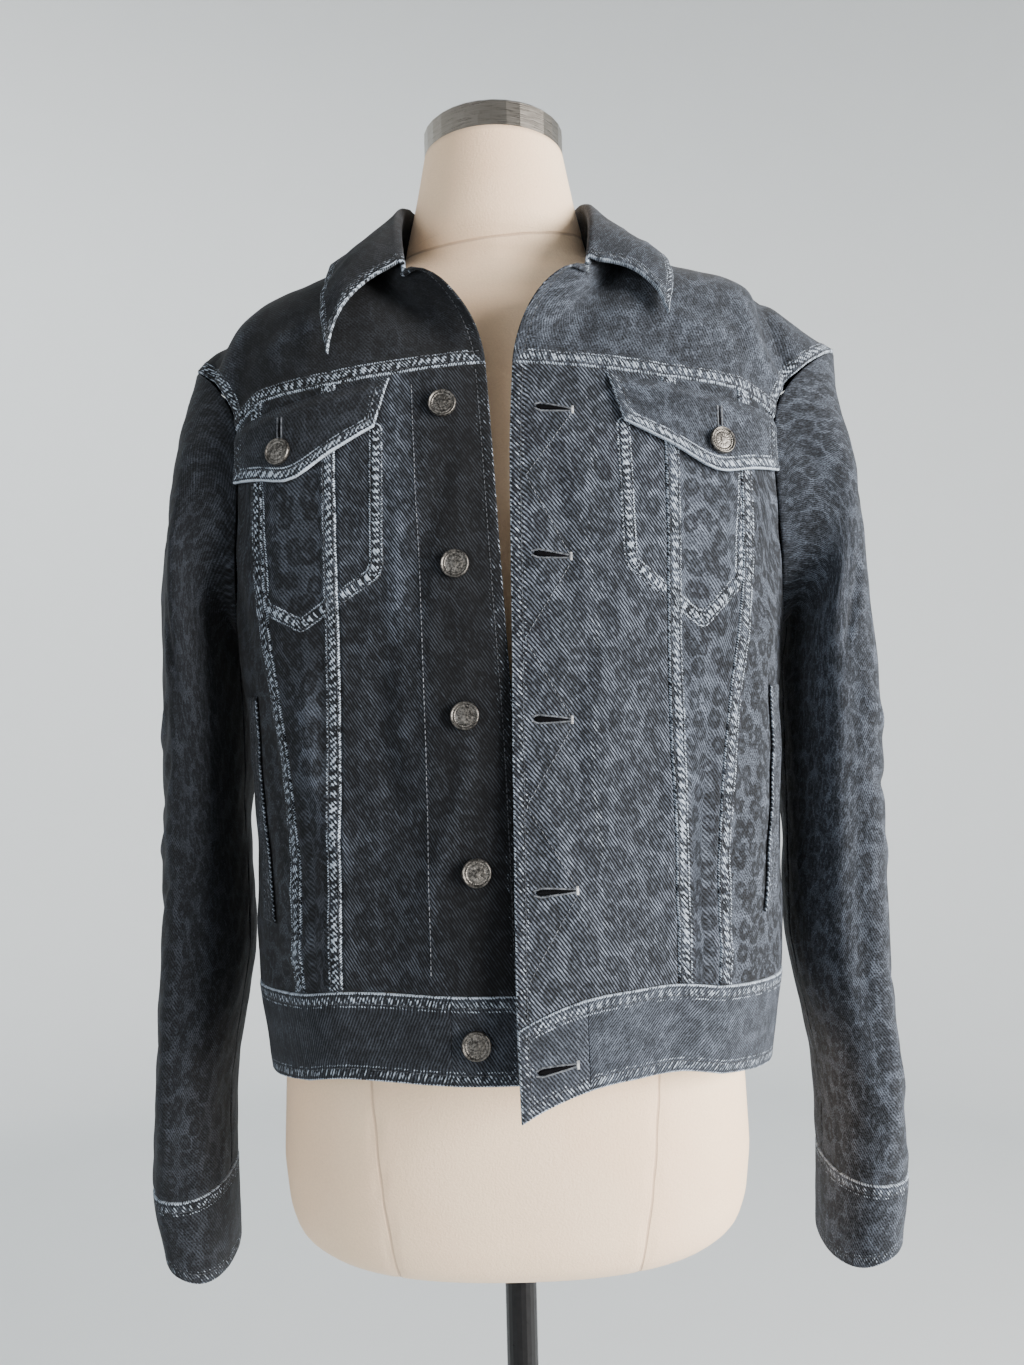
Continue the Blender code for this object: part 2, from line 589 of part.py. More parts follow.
def sleeve_axis(side, row):
    """Middle of the sleeve at a row, used to tell its outer side."""
    quarters = [sleeve_surface(side, np.full(np.shape(row), q * SLEEVE_COLUMNS / 4), row) for q in range(4)]
    return sum(quarters) / 4


# ---- solids ----

def clear_scene():
    for old in list(bpy.data.objects):
        bpy.data.objects.remove(old, do_unlink=True)


def finish(name):
    colour, roughness, metallic = FINISHES[name]
    made = bpy.data.materials.get(name) or bpy.data.materials.new(name)
    made.use_nodes = True
    shader = made.node_tree.nodes["Principled BSDF"]
    shader.inputs["Base Color"].default_value = (*colour, 1.0)
    shader.inputs["Roughness"].default_value = roughness
    shader.inputs["Metallic"].default_value = metallic
    return made


FINISHES = {
    "denim": ((0.045, 0.050, 0.058), 0.9, 0.0),
    "form_cloth": ((0.78, 0.72, 0.63), 0.8, 0.0),
    "steel": ((0.62, 0.60, 0.57), 0.3, 1.0),
    "black_metal": ((0.02, 0.02, 0.022), 0.45, 0.6),
    "button_metal": ((0.30, 0.29, 0.28), 0.4, 1.0),
}


def add_object(name, mesh, slot, collection):
    made = bpy.data.objects.new(name, mesh)
    own = finish(slot).copy()
    own.name = name
    mesh.materials.append(own)
    collection.objects.link(made)
    return made


def mesh_from(name, points, faces, smooth=True):
    """A closed mesh with its faces turned outward."""
    shape = bmesh.new()
    corners = [shape.verts.new(co) for co in points]
    for face in faces:
        shape.faces.new([corners[i] for i in face])
    bmesh.ops.recalc_face_normals(shape, faces=shape.faces)
    mesh = bpy.data.meshes.new(name)
    shape.to_mesh(mesh)
    shape.free()
    if smooth:
        mesh.shade_smooth()
        mesh.set_sharp_from_angle(angle=math.radians(40))
    return mesh


def wall(name, outer, inner, slot, collection):
    """A cloth piece: a grid of outer points, the same grid inside, and a rim round both."""
    rows, columns = outer.shape[:2]
    points = np.concatenate([outer.reshape(-1, 3), inner.reshape(-1, 3)])
    index = np.arange(rows * columns).reshape(rows, columns)
    back = index + rows * columns
    rim = [(0, c) for c in range(columns)]
    rim += [(r, columns - 1) for r in range(1, rows)]
    rim += [(rows - 1, c) for c in range(columns - 2, -1, -1)]
    rim += [(r, 0) for r in range(rows - 2, 0, -1)]
    faces = []
    for r in range(rows - 1):
        for c in range(columns - 1):
            faces.append((index[r, c], index[r, c + 1], index[r + 1, c + 1], index[r + 1, c]))
            faces.append((back[r, c], back[r + 1, c], back[r + 1, c + 1], back[r, c + 1]))
    for here, there in zip(rim, rim[1:] + rim[:1]):
        faces.append((index[here], back[here], back[there], index[there]))
    return add_object(name, mesh_from(name, points, faces), slot, collection)


def part_seams(grid, edges):
    """Moves the named edges of a grid (low_u, high_u, low_v, high_v) in by half a seam gap."""
    moved = grid.copy()
    lines = {
        "low_u": (np.s_[:, 0], np.s_[:, 1]),
        "high_u": (np.s_[:, -1], np.s_[:, -2]),
        "low_v": (np.s_[0, :], np.s_[1, :]),
        "high_v": (np.s_[-1, :], np.s_[-2, :]),
    }
    for edge in edges:
        here, inward = lines[edge]
        moved[here] += unit(grid[inward] - grid[here]) * (SEAM_GAP / 2)
    return moved


ALL_EDGES = ("low_u", "high_u", "low_v", "high_v")


def panel(name, surface, u, v, u_ends, v_ends, inside, collection, out=0.0, thick=CLOTH, edges=ALL_EDGES):
    """A wall over grid columns u and rows v of a surface, moved out by a set distance."""
    columns, rows = np.meshgrid(u, v)
    face = surface(columns, rows)
    facing = normals(surface, columns, rows, u_ends, v_ends, inside)
    outer = part_seams(face + facing * out, edges)
    inner = part_seams(face + facing * (out - thick), edges)
    return wall(name, outer, inner, "denim", collection)


def grid_normals(face, inside):
    """Outward normals of a grid of points, each the mean of the faces round it."""
    across, along = np.diff(face, axis=1), np.diff(face, axis=0)
    faces = np.cross(across[:-1] + across[1:], along[:, :-1] + along[:, 1:])
    found = np.zeros(face.shape)
    for rows in (np.s_[:-1], np.s_[1:]):
        for columns in (np.s_[:-1], np.s_[1:]):
            found[rows, columns] += unit(faces)
    return unit(found) * np.sign(np.sum(found * (face - inside)))


def turned(name, profile, sides, slot, collection):
    """A solid of revolution; its profile runs down the outer side from the top of the axis."""
    mesh = bpy.data.meshes.new(name)
    edges = [(i, i + 1) for i in range(len(profile) - 1)]
    mesh.from_pydata([(radius, 0.0, height) for radius, height in profile], edges, [])
    made = add_object(name, mesh, slot, collection)
    spin = made.modifiers.new("turn", "SCREW")
    spin.steps = sides
    spin.render_steps = sides
    spin.use_merge_vertices = True
    spin.merge_threshold = 0.00001
    spin.use_smooth_shade = True
    return made


# ---- pieces of the jacket ----

BODY_INSIDE = np.array([0.0, 0.0, 1.2])
FRONT_ENDS = (0, FRONT_COLUMNS)
BACK_ENDS = (-BACK_COLUMNS, BACK_COLUMNS)
ROW_ENDS = (0, TOP_ROW)
BELOW_YOKE = (0, YOKE_ROW)


def steps(low, high):
    return np.arange(low, high + 1, dtype=float)


def make_fronts(collection):
    for side, letter in ((RIGHT, "r"), (LEFT, "l")):
        def surface(u, v, side=side):
            return front_surface(side, u, v)

        seam_1, seam_2 = FRONT_CENTRE, FRONT_CENTRE + FRONT_MID
        body_rows = steps(BAND_ROW, YOKE_ROW)
        for name, low, high in (
            ("front_centre_", 0, seam_1),
            ("front_mid_", seam_1, seam_2),
            ("front_side_", seam_2, FRONT_COLUMNS),
        ):
            panel(name + letter, surface, steps(low, high), body_rows, FRONT_ENDS, BELOW_YOKE, BODY_INSIDE, collection)
        yoke_rows = steps(YOKE_ROW, TOP_ROW)
        columns, rows = np.meshgrid(steps(0, FRONT_COLUMNS), yoke_rows)
        face = surface(columns, rows)
        facing = normals(surface, columns, rows, FRONT_ENDS, ROW_ENDS, BODY_INSIDE)
        at_neck = np.s_[:, :NECK_COLUMN]
        facing[at_neck] = grid_normals(face, BODY_INSIDE)[at_neck]
        outer = part_seams(face, ALL_EDGES)
        inner = part_seams(face - facing * CLOTH, ALL_EDGES)
        wall("front_yoke_" + letter, outer, inner, "denim", collection)
        panel(
            "waistband_tab_" + letter, surface, steps(0, TAB_COLUMN), steps(0, BAND_ROW),
            FRONT_ENDS, BELOW_YOKE, BODY_INSIDE, collection, out=BAND_OUT, thick=DOUBLE_CLOTH,
        )


def make_back(collection):
    body_rows = steps(BAND_ROW, YOKE_ROW)
    for name, low, high in (
        ("back_side_r", -BACK_COLUMNS, -BACK_CENTRE),
        ("back_centre", -BACK_CENTRE, BACK_CENTRE),
        ("back_side_l", BACK_CENTRE, BACK_COLUMNS),
    ):
        panel(name, back_surface, steps(low, high), body_rows, BACK_ENDS, BELOW_YOKE, BODY_INSIDE, collection)
    panel(
        "back_yoke", back_surface, steps(-BACK_COLUMNS, BACK_COLUMNS), steps(YOKE_ROW, TOP_ROW),
        BACK_ENDS, ROW_ENDS, BODY_INSIDE, collection,
    )


def band_surface(u, v):
    """The waistband's ring: u counts columns from the right front edge round the back."""
    u, v = np.broadcast_arrays(np.asarray(u, float), np.asarray(v, float))
    right = front_surface(RIGHT, np.clip(u, 0, FRONT_COLUMNS), v)
    back = back_surface(np.clip(u - FRONT_COLUMNS - BACK_COLUMNS, *BACK_ENDS), v)
    left_u = FRONT_COLUMNS - (u - FRONT_COLUMNS - 2 * BACK_COLUMNS)
    left = front_surface(LEFT, np.clip(left_u, 0, FRONT_COLUMNS), v)
    found = np.where((u <= FRONT_COLUMNS)[..., None], right, back)
    return np.where((u > FRONT_COLUMNS + 2 * BACK_COLUMNS)[..., None], left, found)


def make_waistband(collection):
    ring = 2 * (FRONT_COLUMNS + BACK_COLUMNS)
    panel(
        "waistband", band_surface, steps(TAB_COLUMN, ring - TAB_COLUMN), steps(0, BAND_ROW),
        (0, ring), BELOW_YOKE, BODY_INSIDE, collection, out=BAND_OUT, thick=DOUBLE_CLOTH,
    )


def grid_place(side, x, z):
    """Grid column and row of the front point that lies x from the centre at height z."""
    bearing = bearing_at_x(side, x, z)
    lines = [front_bearing(side, np.full(np.shape(z), float(c)), z) for c in FRONT_SEAMS]
    u = np.zeros(np.broadcast(x, z).shape)
    for low, high, start, end in zip(lines[:-1], lines[1:], FRONT_SEAMS[:-1], FRONT_SEAMS[1:]):
        share = (bearing - low) / (high - low)
        u = np.where(bearing >= low, start + (end - start) * share, u)
    band = front_height(side, u, float(BAND_ROW))
    yoke = front_height(side, u, float(YOKE_ROW))
    hem = front_height(side, u, 0.0)
    in_band = BAND_ROW * (z - hem) / (band - hem)
    in_body = BAND_ROW + (UNDERARM_ROW - BAND_ROW) * (z - band) / (UNDERARM - band)
    in_chest = np.clip((z - UNDERARM) / (yoke - UNDERARM), 0, 1) ** (1 / CHEST_SPREAD)
    in_chest = UNDERARM_ROW + (YOKE_ROW - UNDERARM_ROW) * in_chest
    return u, np.where(z < band, in_band, np.where(z < UNDERARM, in_body, in_chest))


def on_facets(surface, u, v):
    """A surface point between its four nearest grid points, and the normal there."""
    low_u, low_v = np.floor(u - 1e-9), np.floor(v - 1e-9)
    a, b = (u - low_u)[..., None], (v - low_v)[..., None]
    corners = [surface(low_u + i, low_v + j) for j in (0, 1) for i in (0, 1)]
    face = (corners[0] * (1 - a) + corners[1] * a) * (1 - b) + (corners[2] * (1 - a) + corners[3] * a) * b
    across = corners[1] + corners[3] - corners[0] - corners[2]
    along = corners[2] + corners[3] - corners[0] - corners[1]
    facing = unit(np.cross(across, along))
    return face, facing * np.where(facing[..., 1:2] > 0, -1.0, 1.0)


def laid_on_front(side, x, z):
    """A front's face and normals at distance x from the centre and heights z."""
    x, z = np.broadcast_arrays(np.asarray(x, float), np.asarray(z, float))
    return on_facets(lambda a, b: front_surface(side, a, b), *grid_place(side, x, z))


def flap_grid(side, share, drop):
    """Distance from the centre and height of a flap point; drop is 0 at the yoke seam."""
    column = FLAP_START_COLUMN + (FLAP_END_COLUMN - FLAP_START_COLUMN) * share
    top_z = front_height(side, column, float(YOKE_ROW)) - FLAP_BELOW_SEAM
    low_z = read(FLAP_LOW, "height", share)
    z = top_z + (low_z - top_z) * drop
    end = np.abs(front_at(side, FLAP_END_COLUMN, z)[..., 0])
    inner = FLAP_TOP_X + (FLAP_LOW[0].x_low - FLAP_TOP_X) * drop
    return inner + (end - inner) * share, z


def pocket_grid(share, drop):
    top = POCKET_TOP_X + (POCKET_TOP_OUT - POCKET_TOP_X) * share
    x = top + (read(POCKET_LOW, "x_low", share) - top) * drop
    return x, POCKET_TOP + (read(POCKET_LOW, "height", share) - POCKET_TOP) * drop


def make_laid_on(collection):
    """Flaps and side-pocket welts outside the fronts, chest pocket bags behind them."""
    for side, letter in ((RIGHT, "r"), (LEFT, "l")):
        share, drop = np.meshgrid(np.linspace(0, 1, FLAP_COLUMNS), np.linspace(0, 1, FLAP_ROWS))
        face, facing = laid_on_front(side, *flap_grid(side, share, drop))
        wall("flap_" + letter, face + facing * (LAID_ON + FLAP_WALL), face + facing * LAID_ON, "denim", collection)

        share, drop = np.meshgrid(np.linspace(0, 1, POCKET_COLUMNS), np.linspace(0, 1, POCKET_ROWS))
        face, facing = laid_on_front(side, *pocket_grid(share, drop))
        behind = CLOTH + BEHIND_GAP
        wall("pocket_bag_" + letter, face - facing * behind, face - facing * (behind + POCKET_WALL), "denim", collection)

        z = np.linspace(WELT[0].height, WELT[-1].height, WELT_ROWS)
        middle = read(WELT, "share", z) * half_width(side, z)
        x = middle + WELT_WIDTH * np.linspace(-0.5, 0.5, 3)[:, None]
        face, facing = laid_on_front(side, x, z)
        wall("side_welt_" + letter, face + facing * (LAID_ON + WELT_WALL), face + facing * LAID_ON, "denim", collection)


def collar_column(side, around):
    """The collar's profile at one place: up inside the neck, over the fold and down to its edge."""
    seam = neck_point(side, around)
    fold = neck_point(side, around, "fold")
    column = read(LEAF_EDGE, "left" if side == LEFT else "right", around)
    down = read(LEAF_EDGE, "down_left" if side == LEFT else "down_right", around)
    at_back = around < 0.5
    row = TOP_ROW - down
    if at_back:
        surface, u, ends = back_surface, side * column, BACK_ENDS
    else:
        surface, u, ends = (lambda a, b: front_surface(side, a, b)), column, FRONT_ENDS
    face = surface(np.array(u), np.array(row))
    facing = normals(surface, np.array(u), np.array(row), ends, ROW_ENDS, BODY_INSIDE)
    edge = face + facing * (DOUBLE_CLOTH + LAID_ON + read(LEAF_EDGE, "lift", around))
    up = unit(fold - seam)
    away = edge - fold
    away = unit(away - up * np.dot(away, up))
    start = seam + up * COLLAR_SEAM_GAP
    radius = COLLAR_FOLD_RADIUS
    turn_start = fold - up * radius
    centre = turn_start + away * radius
    profile = [start, start + (turn_start - start) * 0.5, turn_start]
    for degrees in (45, 90, 135, 170):
        angle = math.radians(degrees)
        profile.append(centre - away * radius * math.cos(angle) + up * radius * math.sin(angle))
    leaf_start = profile[-1]
    across = unit(np.cross(edge - leaf_start, np.cross(up, away)))
    across = across * np.sign(across[2])
    for share in (1 / 3, 2 / 3, 1.0):
        bulge = read(LEAF_EDGE, "bulge", around) * 4 * share * (1 - share)
        profile.append(leaf_start + (edge - leaf_start) * share + across * bulge)
    return np.array(profile)


def collar_places():
    """Where the collar's columns stand: the neck seam's own grid columns and one between each."""
    front = 1 - 0.5 * np.arange(NECK_COLUMN, -0.5, -0.5) / NECK_COLUMN
    back = 0.5 * np.linspace(0, 1, 8)[:-1]
    return np.concatenate([back, front])


def make_collar(collection):
    places = collar_places()
    right = [collar_column(RIGHT, float(a)) for a in places[::-1]]
    left = [collar_column(LEFT, float(a)) for a in places[1:]]
    face = np.array(right + left).transpose(1, 0, 2)
    across = np.gradient(face, axis=1)
    along = np.gradient(face, axis=0)
    facing = unit(np.cross(across, along))
    facing = facing * np.sign(facing[COLLAR_TOP_ROW, :, 2].mean())
    inner = face - facing * DOUBLE_CLOTH
    inner[0] += unit(inner[1] - inner[0]) * COLLAR_FOOT
    wall("collar", face, inner, "denim", collection)


def mitre(side, around, facing):
    """Sleeve normals at the armhole, turned halfway to the body's over the sleeve head."""
    front_row = np.clip(TOP_ROW - np.abs(around), UNDERARM_ROW, TOP_ROW)
    body = normals(
        lambda u, v: front_surface(side, u, v), np.full(around.shape, float(FRONT_COLUMNS)), front_row,
        FRONT_ENDS, ROW_ENDS, BODY_INSIDE,
    )
    body[..., 1] *= np.where(around < 0, -1.0, 1.0)
    head = np.clip(np.cos(2 * math.pi * around / SLEEVE_COLUMNS), 0, 1)[..., None]
    return unit(facing + body * head)


def make_sleeves(collection):
    back_seam = SLEEVE_BACK_SEAM
    for side, letter in ((RIGHT, "r"), (LEFT, "l")):
        def surface(u, v, side=side):
            return sleeve_surface(side, u, v)

        rows = steps(0, SLEEVE_ROWS)
        rows[0] = SLEEVE_SET_IN
        inside = sleeve_axis(side, rows)[:, None, :]
        limits = (-SLEEVE_COLUMNS, 2 * SLEEVE_COLUMNS)
        for name, low, high in (
            ("sleeve_top_", back_seam - SLEEVE_COLUMNS, ARMHOLE_STEPS),
            ("sleeve_under_", ARMHOLE_STEPS, back_seam),
        ):
            columns, row_grid = np.meshgrid(steps(low, high), rows)
            face = surface(columns, row_grid)
            facing = normals(surface, columns, row_grid, limits, (0, SLEEVE_ROWS), inside)
            facing[0] = mitre(side, columns[0], facing[0])
            outer = part_seams(face, ALL_EDGES)
            inner = part_seams(face - facing * CLOTH, ALL_EDGES)
            wall(name + letter, outer, inner, "denim", collection)
        make_cuff(side, letter, collection)


def cuff_grid(side, share, row, out):
    """Cuff points: share runs once round and laps over its own start at the sleeve's back."""
    around = CUFF_LAP_START - SLEEVE_COLUMNS + share * (SLEEVE_COLUMNS + CUFF_LAP_COLUMNS)
    face = sleeve_surface(side, around, row)
    angle = 2 * math.pi * around / SLEEVE_COLUMNS
    outward = point(side * np.cos(angle), -np.sin(angle), 0.0)
    lap = CUFF_LAP_LIFT * smooth_step((share - 0.80) / 0.15)
    return face + outward * (out + lap)[..., None]


def make_cuff(side, letter, collection):
    share, row = np.meshgrid(np.linspace(0, 1, CUFF_COLUMNS + 1), steps(SLEEVE_ROWS, SLEEVE_ROWS + CUFF_ROWS))
    out = np.full(share.shape, BAND_OUT)
    outer = part_seams(cuff_grid(side, share, row, out), ("low_v",))
    inner = part_seams(cuff_grid(side, share, row, out - DOUBLE_CLOTH), ("low_v",))
    wall("cuff_" + letter, outer, inner, "denim", collection)


# ---- buttons ----

BUTTON_PROFILE = (
    (0.0, 1.0),
    (0.58, 0.88),
    (0.68, 0.60),
    (0.90, 0.94),
    (1.0, 0.62),
    (1.0, 0.20),
    (0.90, 0.0),
    (0.0, 0.0),
)


def make_button(name, place, facing, collection):
    profile = [(r * BUTTON_RADIUS, h * BUTTON_HEIGHT) for r, h in BUTTON_PROFILE]
    made = turned(name, profile, BUTTON_SIDES, "button_metal", collection)
    made.location = Vector(place + facing * LAID_ON)
    made.rotation_mode = "QUATERNION"
    made.rotation_quaternion = Vector(facing).to_track_quat("Z", "Y")


def cuff_button_seat(side):
    """Middle of the cuff's last column on its middle row, and the outward normal there."""
    share = np.array([1 - 1 / CUFF_COLUMNS, 1.0])
    middle = cuff_grid(side, share, np.full(2, SLEEVE_ROWS + CUFF_ROWS / 2), np.full(2, BAND_OUT))
    end = cuff_grid(side, share, np.full(2, float(SLEEVE_ROWS + CUFF_ROWS)), np.full(2, BAND_OUT))
    place = middle.mean(axis=0)
    facing = unit(np.cross(middle[1] - middle[0], end.mean(axis=0) - place))
    return place, facing * np.sign(np.dot(facing, place - sleeve_axis(side, np.array(SLEEVE_ROWS + 1.0))))


def make_buttons(collection):
    for number, button in enumerate(FRONT_BUTTONS, 1):
        place, facing = laid_on_front(RIGHT, button.x, button.height)
        raised = BAND_OUT if button.height < BAND_SIDE else 0.0
        make_button(f"button_front_{number}", place + facing * raised, facing, collection)
    for side, letter in ((RIGHT, "r"), (LEFT, "l")):
        place, facing = laid_on_front(side, FLAP_BUTTON.x, FLAP_BUTTON.height)
        make_button("button_flap_" + letter, place + facing * (FLAP_WALL + LAID_ON), facing, collection)
        place, facing = cuff_button_seat(side)
        make_button("button_cuff_" + letter, place, facing, collection)


# ---- dress form and stand ----

def form_rings():
    """Height, half width, depths and squareness of each ring of the form, bottom to top."""
    rings = list(FORM_RINGS)
    first, second = SHOULDER[0], SHOULDER[2]
    slope = (second.right_z - first.right_z) / (second.right_x - first.right_x)
    for ridge in FORM_RIDGE:
        height = first.right_z + slope * (ridge.x - first.right_x) - ridge.below
        rings.append(FormRing(height, ridge.x, ridge.front, ridge.back, ridge.square))
    return rings + list(FORM_NECK)


def make_form(collection):
    rings = form_rings()
    angles = np.arange(FORM_SIDES) * 2 * math.pi / FORM_SIDES
    points = []
    for ring in rings:
        sine, cosine = np.sin(angles), np.cos(angles)
        reach = (np.abs(sine) ** ring.square + np.abs(cosine) ** ring.square) ** (-1 / ring.square)
        depth = np.where(cosine > 0, ring.front, ring.back)
        points.append(point(ring.half * reach * sine, -depth * reach * cosine, ring.height))
    index = np.arange(len(rings) * FORM_SIDES).reshape(len(rings), FORM_SIDES)
    faces = [tuple(index[0]), tuple(index[-1])]
    for low, high in zip(index[:-1], index[1:]):
        for c in range(FORM_SIDES):
            after = (c + 1) % FORM_SIDES
            faces.append((low[c], low[after], high[after], high[c]))
    mesh = mesh_from("form_torso", np.concatenate(points), faces)
    add_object("form_torso", mesh, "form_cloth", collection)

    neck_top = FORM_NECK[-1].height + SEAM_GAP
    cap = (
        (0.0, CAP_TOP),
        (CAP_RADIUS - CAP_BEVEL, CAP_TOP),
        (CAP_RADIUS, CAP_TOP - CAP_BEVEL),
        (CAP_RADIUS, neck_top),
        (0.0, neck_top),
    )
    turned("form_neck_cap", cap, TURNED_SIDES, "steel", collection)


def make_stand(collection):
    base = (
        (0.0, SOCKET_HEIGHT),
        (SOCKET_RADIUS - 0.002, SOCKET_HEIGHT),
        (SOCKET_RADIUS, SOCKET_HEIGHT - 0.002),
        (SOCKET_RADIUS, BASE_HEIGHT + 0.003),
        (SOCKET_RADIUS + 0.004, BASE_HEIGHT),
        (BASE_RADIUS - BASE_RIM, BASE_HEIGHT - 0.003),
        (BASE_RADIUS, BASE_HEIGHT - 0.007),
        (BASE_RADIUS, 0.0),
        (0.0, 0.0),
    )
    turned("stand_base", base, TURNED_SIDES, "black_metal", collection)
    top = FORM_RINGS[0].height - SEAM_GAP
    bottom = SOCKET_HEIGHT + SEAM_GAP
    pole = ((0.0, top), (POLE_RADIUS, top), (POLE_RADIUS, bottom), (0.0, bottom))
    turned("stand_pole", pole, 20, "black_metal", collection)


def main():
    clear_scene()
    collection = bpy.data.collections.new("denim_jacket_on_dress_form")
    bpy.context.scene.collection.children.link(collection)
    make_form(collection)
    make_stand(collection)
    make_fronts(collection)
    make_back(collection)
    make_waistband(collection)
    make_laid_on(collection)
    make_collar(collection)
    make_sleeves(collection)
    make_buttons(collection)


main()
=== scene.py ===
from collections import namedtuple
from functools import partial
import math

import bmesh
import bpy
from mathutils import Matrix, Vector
from mathutils.bvhtree import BVHTree
import numpy as np


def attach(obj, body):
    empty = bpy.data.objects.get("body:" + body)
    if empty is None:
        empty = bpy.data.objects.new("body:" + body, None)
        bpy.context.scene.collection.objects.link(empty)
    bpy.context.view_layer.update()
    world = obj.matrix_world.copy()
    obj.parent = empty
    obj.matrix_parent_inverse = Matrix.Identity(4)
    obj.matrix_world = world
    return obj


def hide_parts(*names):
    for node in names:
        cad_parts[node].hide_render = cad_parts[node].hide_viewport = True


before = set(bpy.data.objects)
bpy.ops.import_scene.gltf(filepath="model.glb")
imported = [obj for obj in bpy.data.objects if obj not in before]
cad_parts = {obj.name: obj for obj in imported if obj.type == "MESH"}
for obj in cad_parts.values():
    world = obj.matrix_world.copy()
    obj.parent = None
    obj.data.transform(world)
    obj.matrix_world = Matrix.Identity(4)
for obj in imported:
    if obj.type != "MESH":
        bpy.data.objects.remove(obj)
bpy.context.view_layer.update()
print("frame loaded")

rightSide, leftSide = -1, 1
sides = ((rightSide, "r"), (leftSide, "l"))


def tableOf(fields, rows):
    # Rows whose columns are read by name.
    kind = namedtuple("Row", fields)
    return tuple(kind(*row) for row in rows)


clothWall = 0.0016
doubleCloth = 0.0024
laidOn = 0.0009
behindGap = 0.0008
# How far the waistband and cuffs stand out beyond the single cloth
bandOut = 0.0004

# Heights that the jacket's grid is built on
hemSide = 0.905
hemFront = 0.930
hemBack = 0.900
bandSide = 0.9645
bandFront = 0.981
bandBack = 0.957
edgeDipLeft = 0.015
underarm = 1.190
armholeTop = 1.386
yokeFront = 1.355
yokeDrop = 0.029
yokeBack = 1.345
yokeBackDrop = 0.012
armDepthFront = 0.066
armDepthBack = 0.078

# Grid columns of one front: edge to first seam, to second seam, to side
frontCentre, frontMid, frontSide = 5, 2, 5
frontColumns = frontCentre + frontMid + frontSide
frontSeams = (0, frontCentre, frontCentre + frontMid, frontColumns)
tabColumn = 2
neckColumn = 3
# Grid columns of half the back: centre to seam, to side
backCentre, backSide = 4, 6
backColumns = backCentre + backSide
backNeckColumn = 3.4
# The shoulder's first part, middleShare of its length, ends at these columns
middleShare = 0.6
frontShoulderColumn = frontCentre + frontMid
backShoulderColumn = 6.5
# Grid rows: waistband, up to the underarm, up to the yoke, yoke
bandRow = 2
underarmRow = bandRow + 7
yokeRow = underarmRow + 5
topRow = yokeRow + 5
armholeSteps = topRow - underarmRow
chestSpread = 1.5
sleeveColumns = 2 * armholeSteps
sleeveRows = 16
cuffRows = 2
cuffColumns = sleeveColumns + 1
sleeveSetIn = 0.03

seam1X = 0.100
seam2Line = tableOf("height x", (
    (0.90, 0.124),
    (0.985, 0.124),
    (1.05, 0.125),
    (1.145, 0.1355),
    (1.21, 0.1455),
    (1.285, 0.149),
    (1.36, 0.150),
))
backSeam = tableOf("height x", ((0.90, 0.058), (0.96, 0.060), (1.15, 0.078), (1.35, 0.098)))

# The body's outline: half widths, depths before and behind the axis, and how square the ring is
bodyRings = tableOf("height right left front back square", (
    (0.900, 0.164, 0.174, 0.139, 0.117, 2.30),
    (0.935, 0.168, 0.179, 0.140, 0.120, 2.30),
    (0.965, 0.1725, 0.184, 0.139, 0.122, 2.30),
    (1.060, 0.1750, 0.1875, 0.133, 0.120, 2.35),
    (1.130, 0.1785, 0.1885, 0.125, 0.120, 2.40),
    (1.190, 0.1845, 0.1910, 0.120, 0.124, 2.50),
    (1.250, 0.1865, 0.1935, 0.116, 0.128, 2.65),
    (1.310, 0.1860, 0.1940, 0.108, 0.127, 2.80),
    (1.360, 0.1840, 0.1930, 0.098, 0.120, 2.80),
))
# Where each front edge lies, and how far the left edge stands out in front of the right one
frontEdges = tableOf("height right left flare", (
    (0.90, 0.0090, 0.0040, 0.0180),
    (0.98, 0.0085, 0.0022, 0.0140),
    (1.06, 0.0070, 0.0028, 0.0090),
    (1.14, 0.0045, 0.0036, 0.0055),
    (1.18, 0.0022, 0.0044, 0.0035),
    (1.24, -0.0010, 0.0050, 0.0020),
    (1.31, -0.0045, 0.0062, 0.0008),
    (1.36, -0.0075, 0.0090, 0.0),
))
# The shoulder seam from the neck (out 0) to the sleeve head (out 1)
shoulderLine = tableOf("out rightX rightZ leftX leftZ", (
    (0.00, 0.072, 1.4560, 0.072, 1.4560),
    (0.38, 0.120, 1.4395, 0.122, 1.4440),
    (0.65, 0.158, 1.4250, 0.162, 1.4330),
    (0.77, 0.173, 1.4145, 0.180, 1.4220),
    (0.90, 0.194, 1.3960, 0.211, 1.3985),
    (1.00, 0.2095, 1.3800, 0.2335, 1.3835),
))
# The neck seam and the collar's fold from the centre back (around 0) to the front end (around 1)
neckLine = tableOf("around seamX seamY seamZ foldX foldY foldZ", (
    (0.00, 0.000, 0.070, 1.4640, 0.0000, 0.067, 1.5050),
    (0.17, 0.032, 0.064, 1.4630, 0.0270, 0.061, 1.5050),
    (0.34, 0.060, 0.040, 1.4600, 0.0490, 0.038, 1.5030),
    (0.50, 0.072, 0.004, 1.4560, 0.0582, 0.004, 1.4970),
    (0.67, 0.071, -0.030, 1.4455, 0.0602, -0.030, 1.4790),
    (0.84, 0.064, -0.060, 1.4305, 0.0592, -0.060, 1.4545),
    (1.00, 0.056, -0.085, 1.4130, 0.0560, -0.083, 1.4260),
))
# How the yokes arrive at the neck and at the shoulder seam, and how full they are on the way
frontNeckSlope = np.array([-0.35, 0.70, 0.45])
backNeckSlope = np.array([0.0, -0.55, 0.85])
shoulderArrival = np.array([0.0, 1.0, 0.04])
# How far the front yokes swing inward as they arrive near the corner of neck and shoulder
cornerSwing = np.array([-0.75, 0.0, 0.0])
cornerFade = 2.6
yokeRise = 1.15
yokeOver = 1.50
yokeOverNeck = 0.85
neckBlend = 0.75
# The open neck corners: how far the front edge turns out and curls forward, over these columns
edgeTurn = 1.3
edgeCurl = 0.008
edgeColumns = 1.8
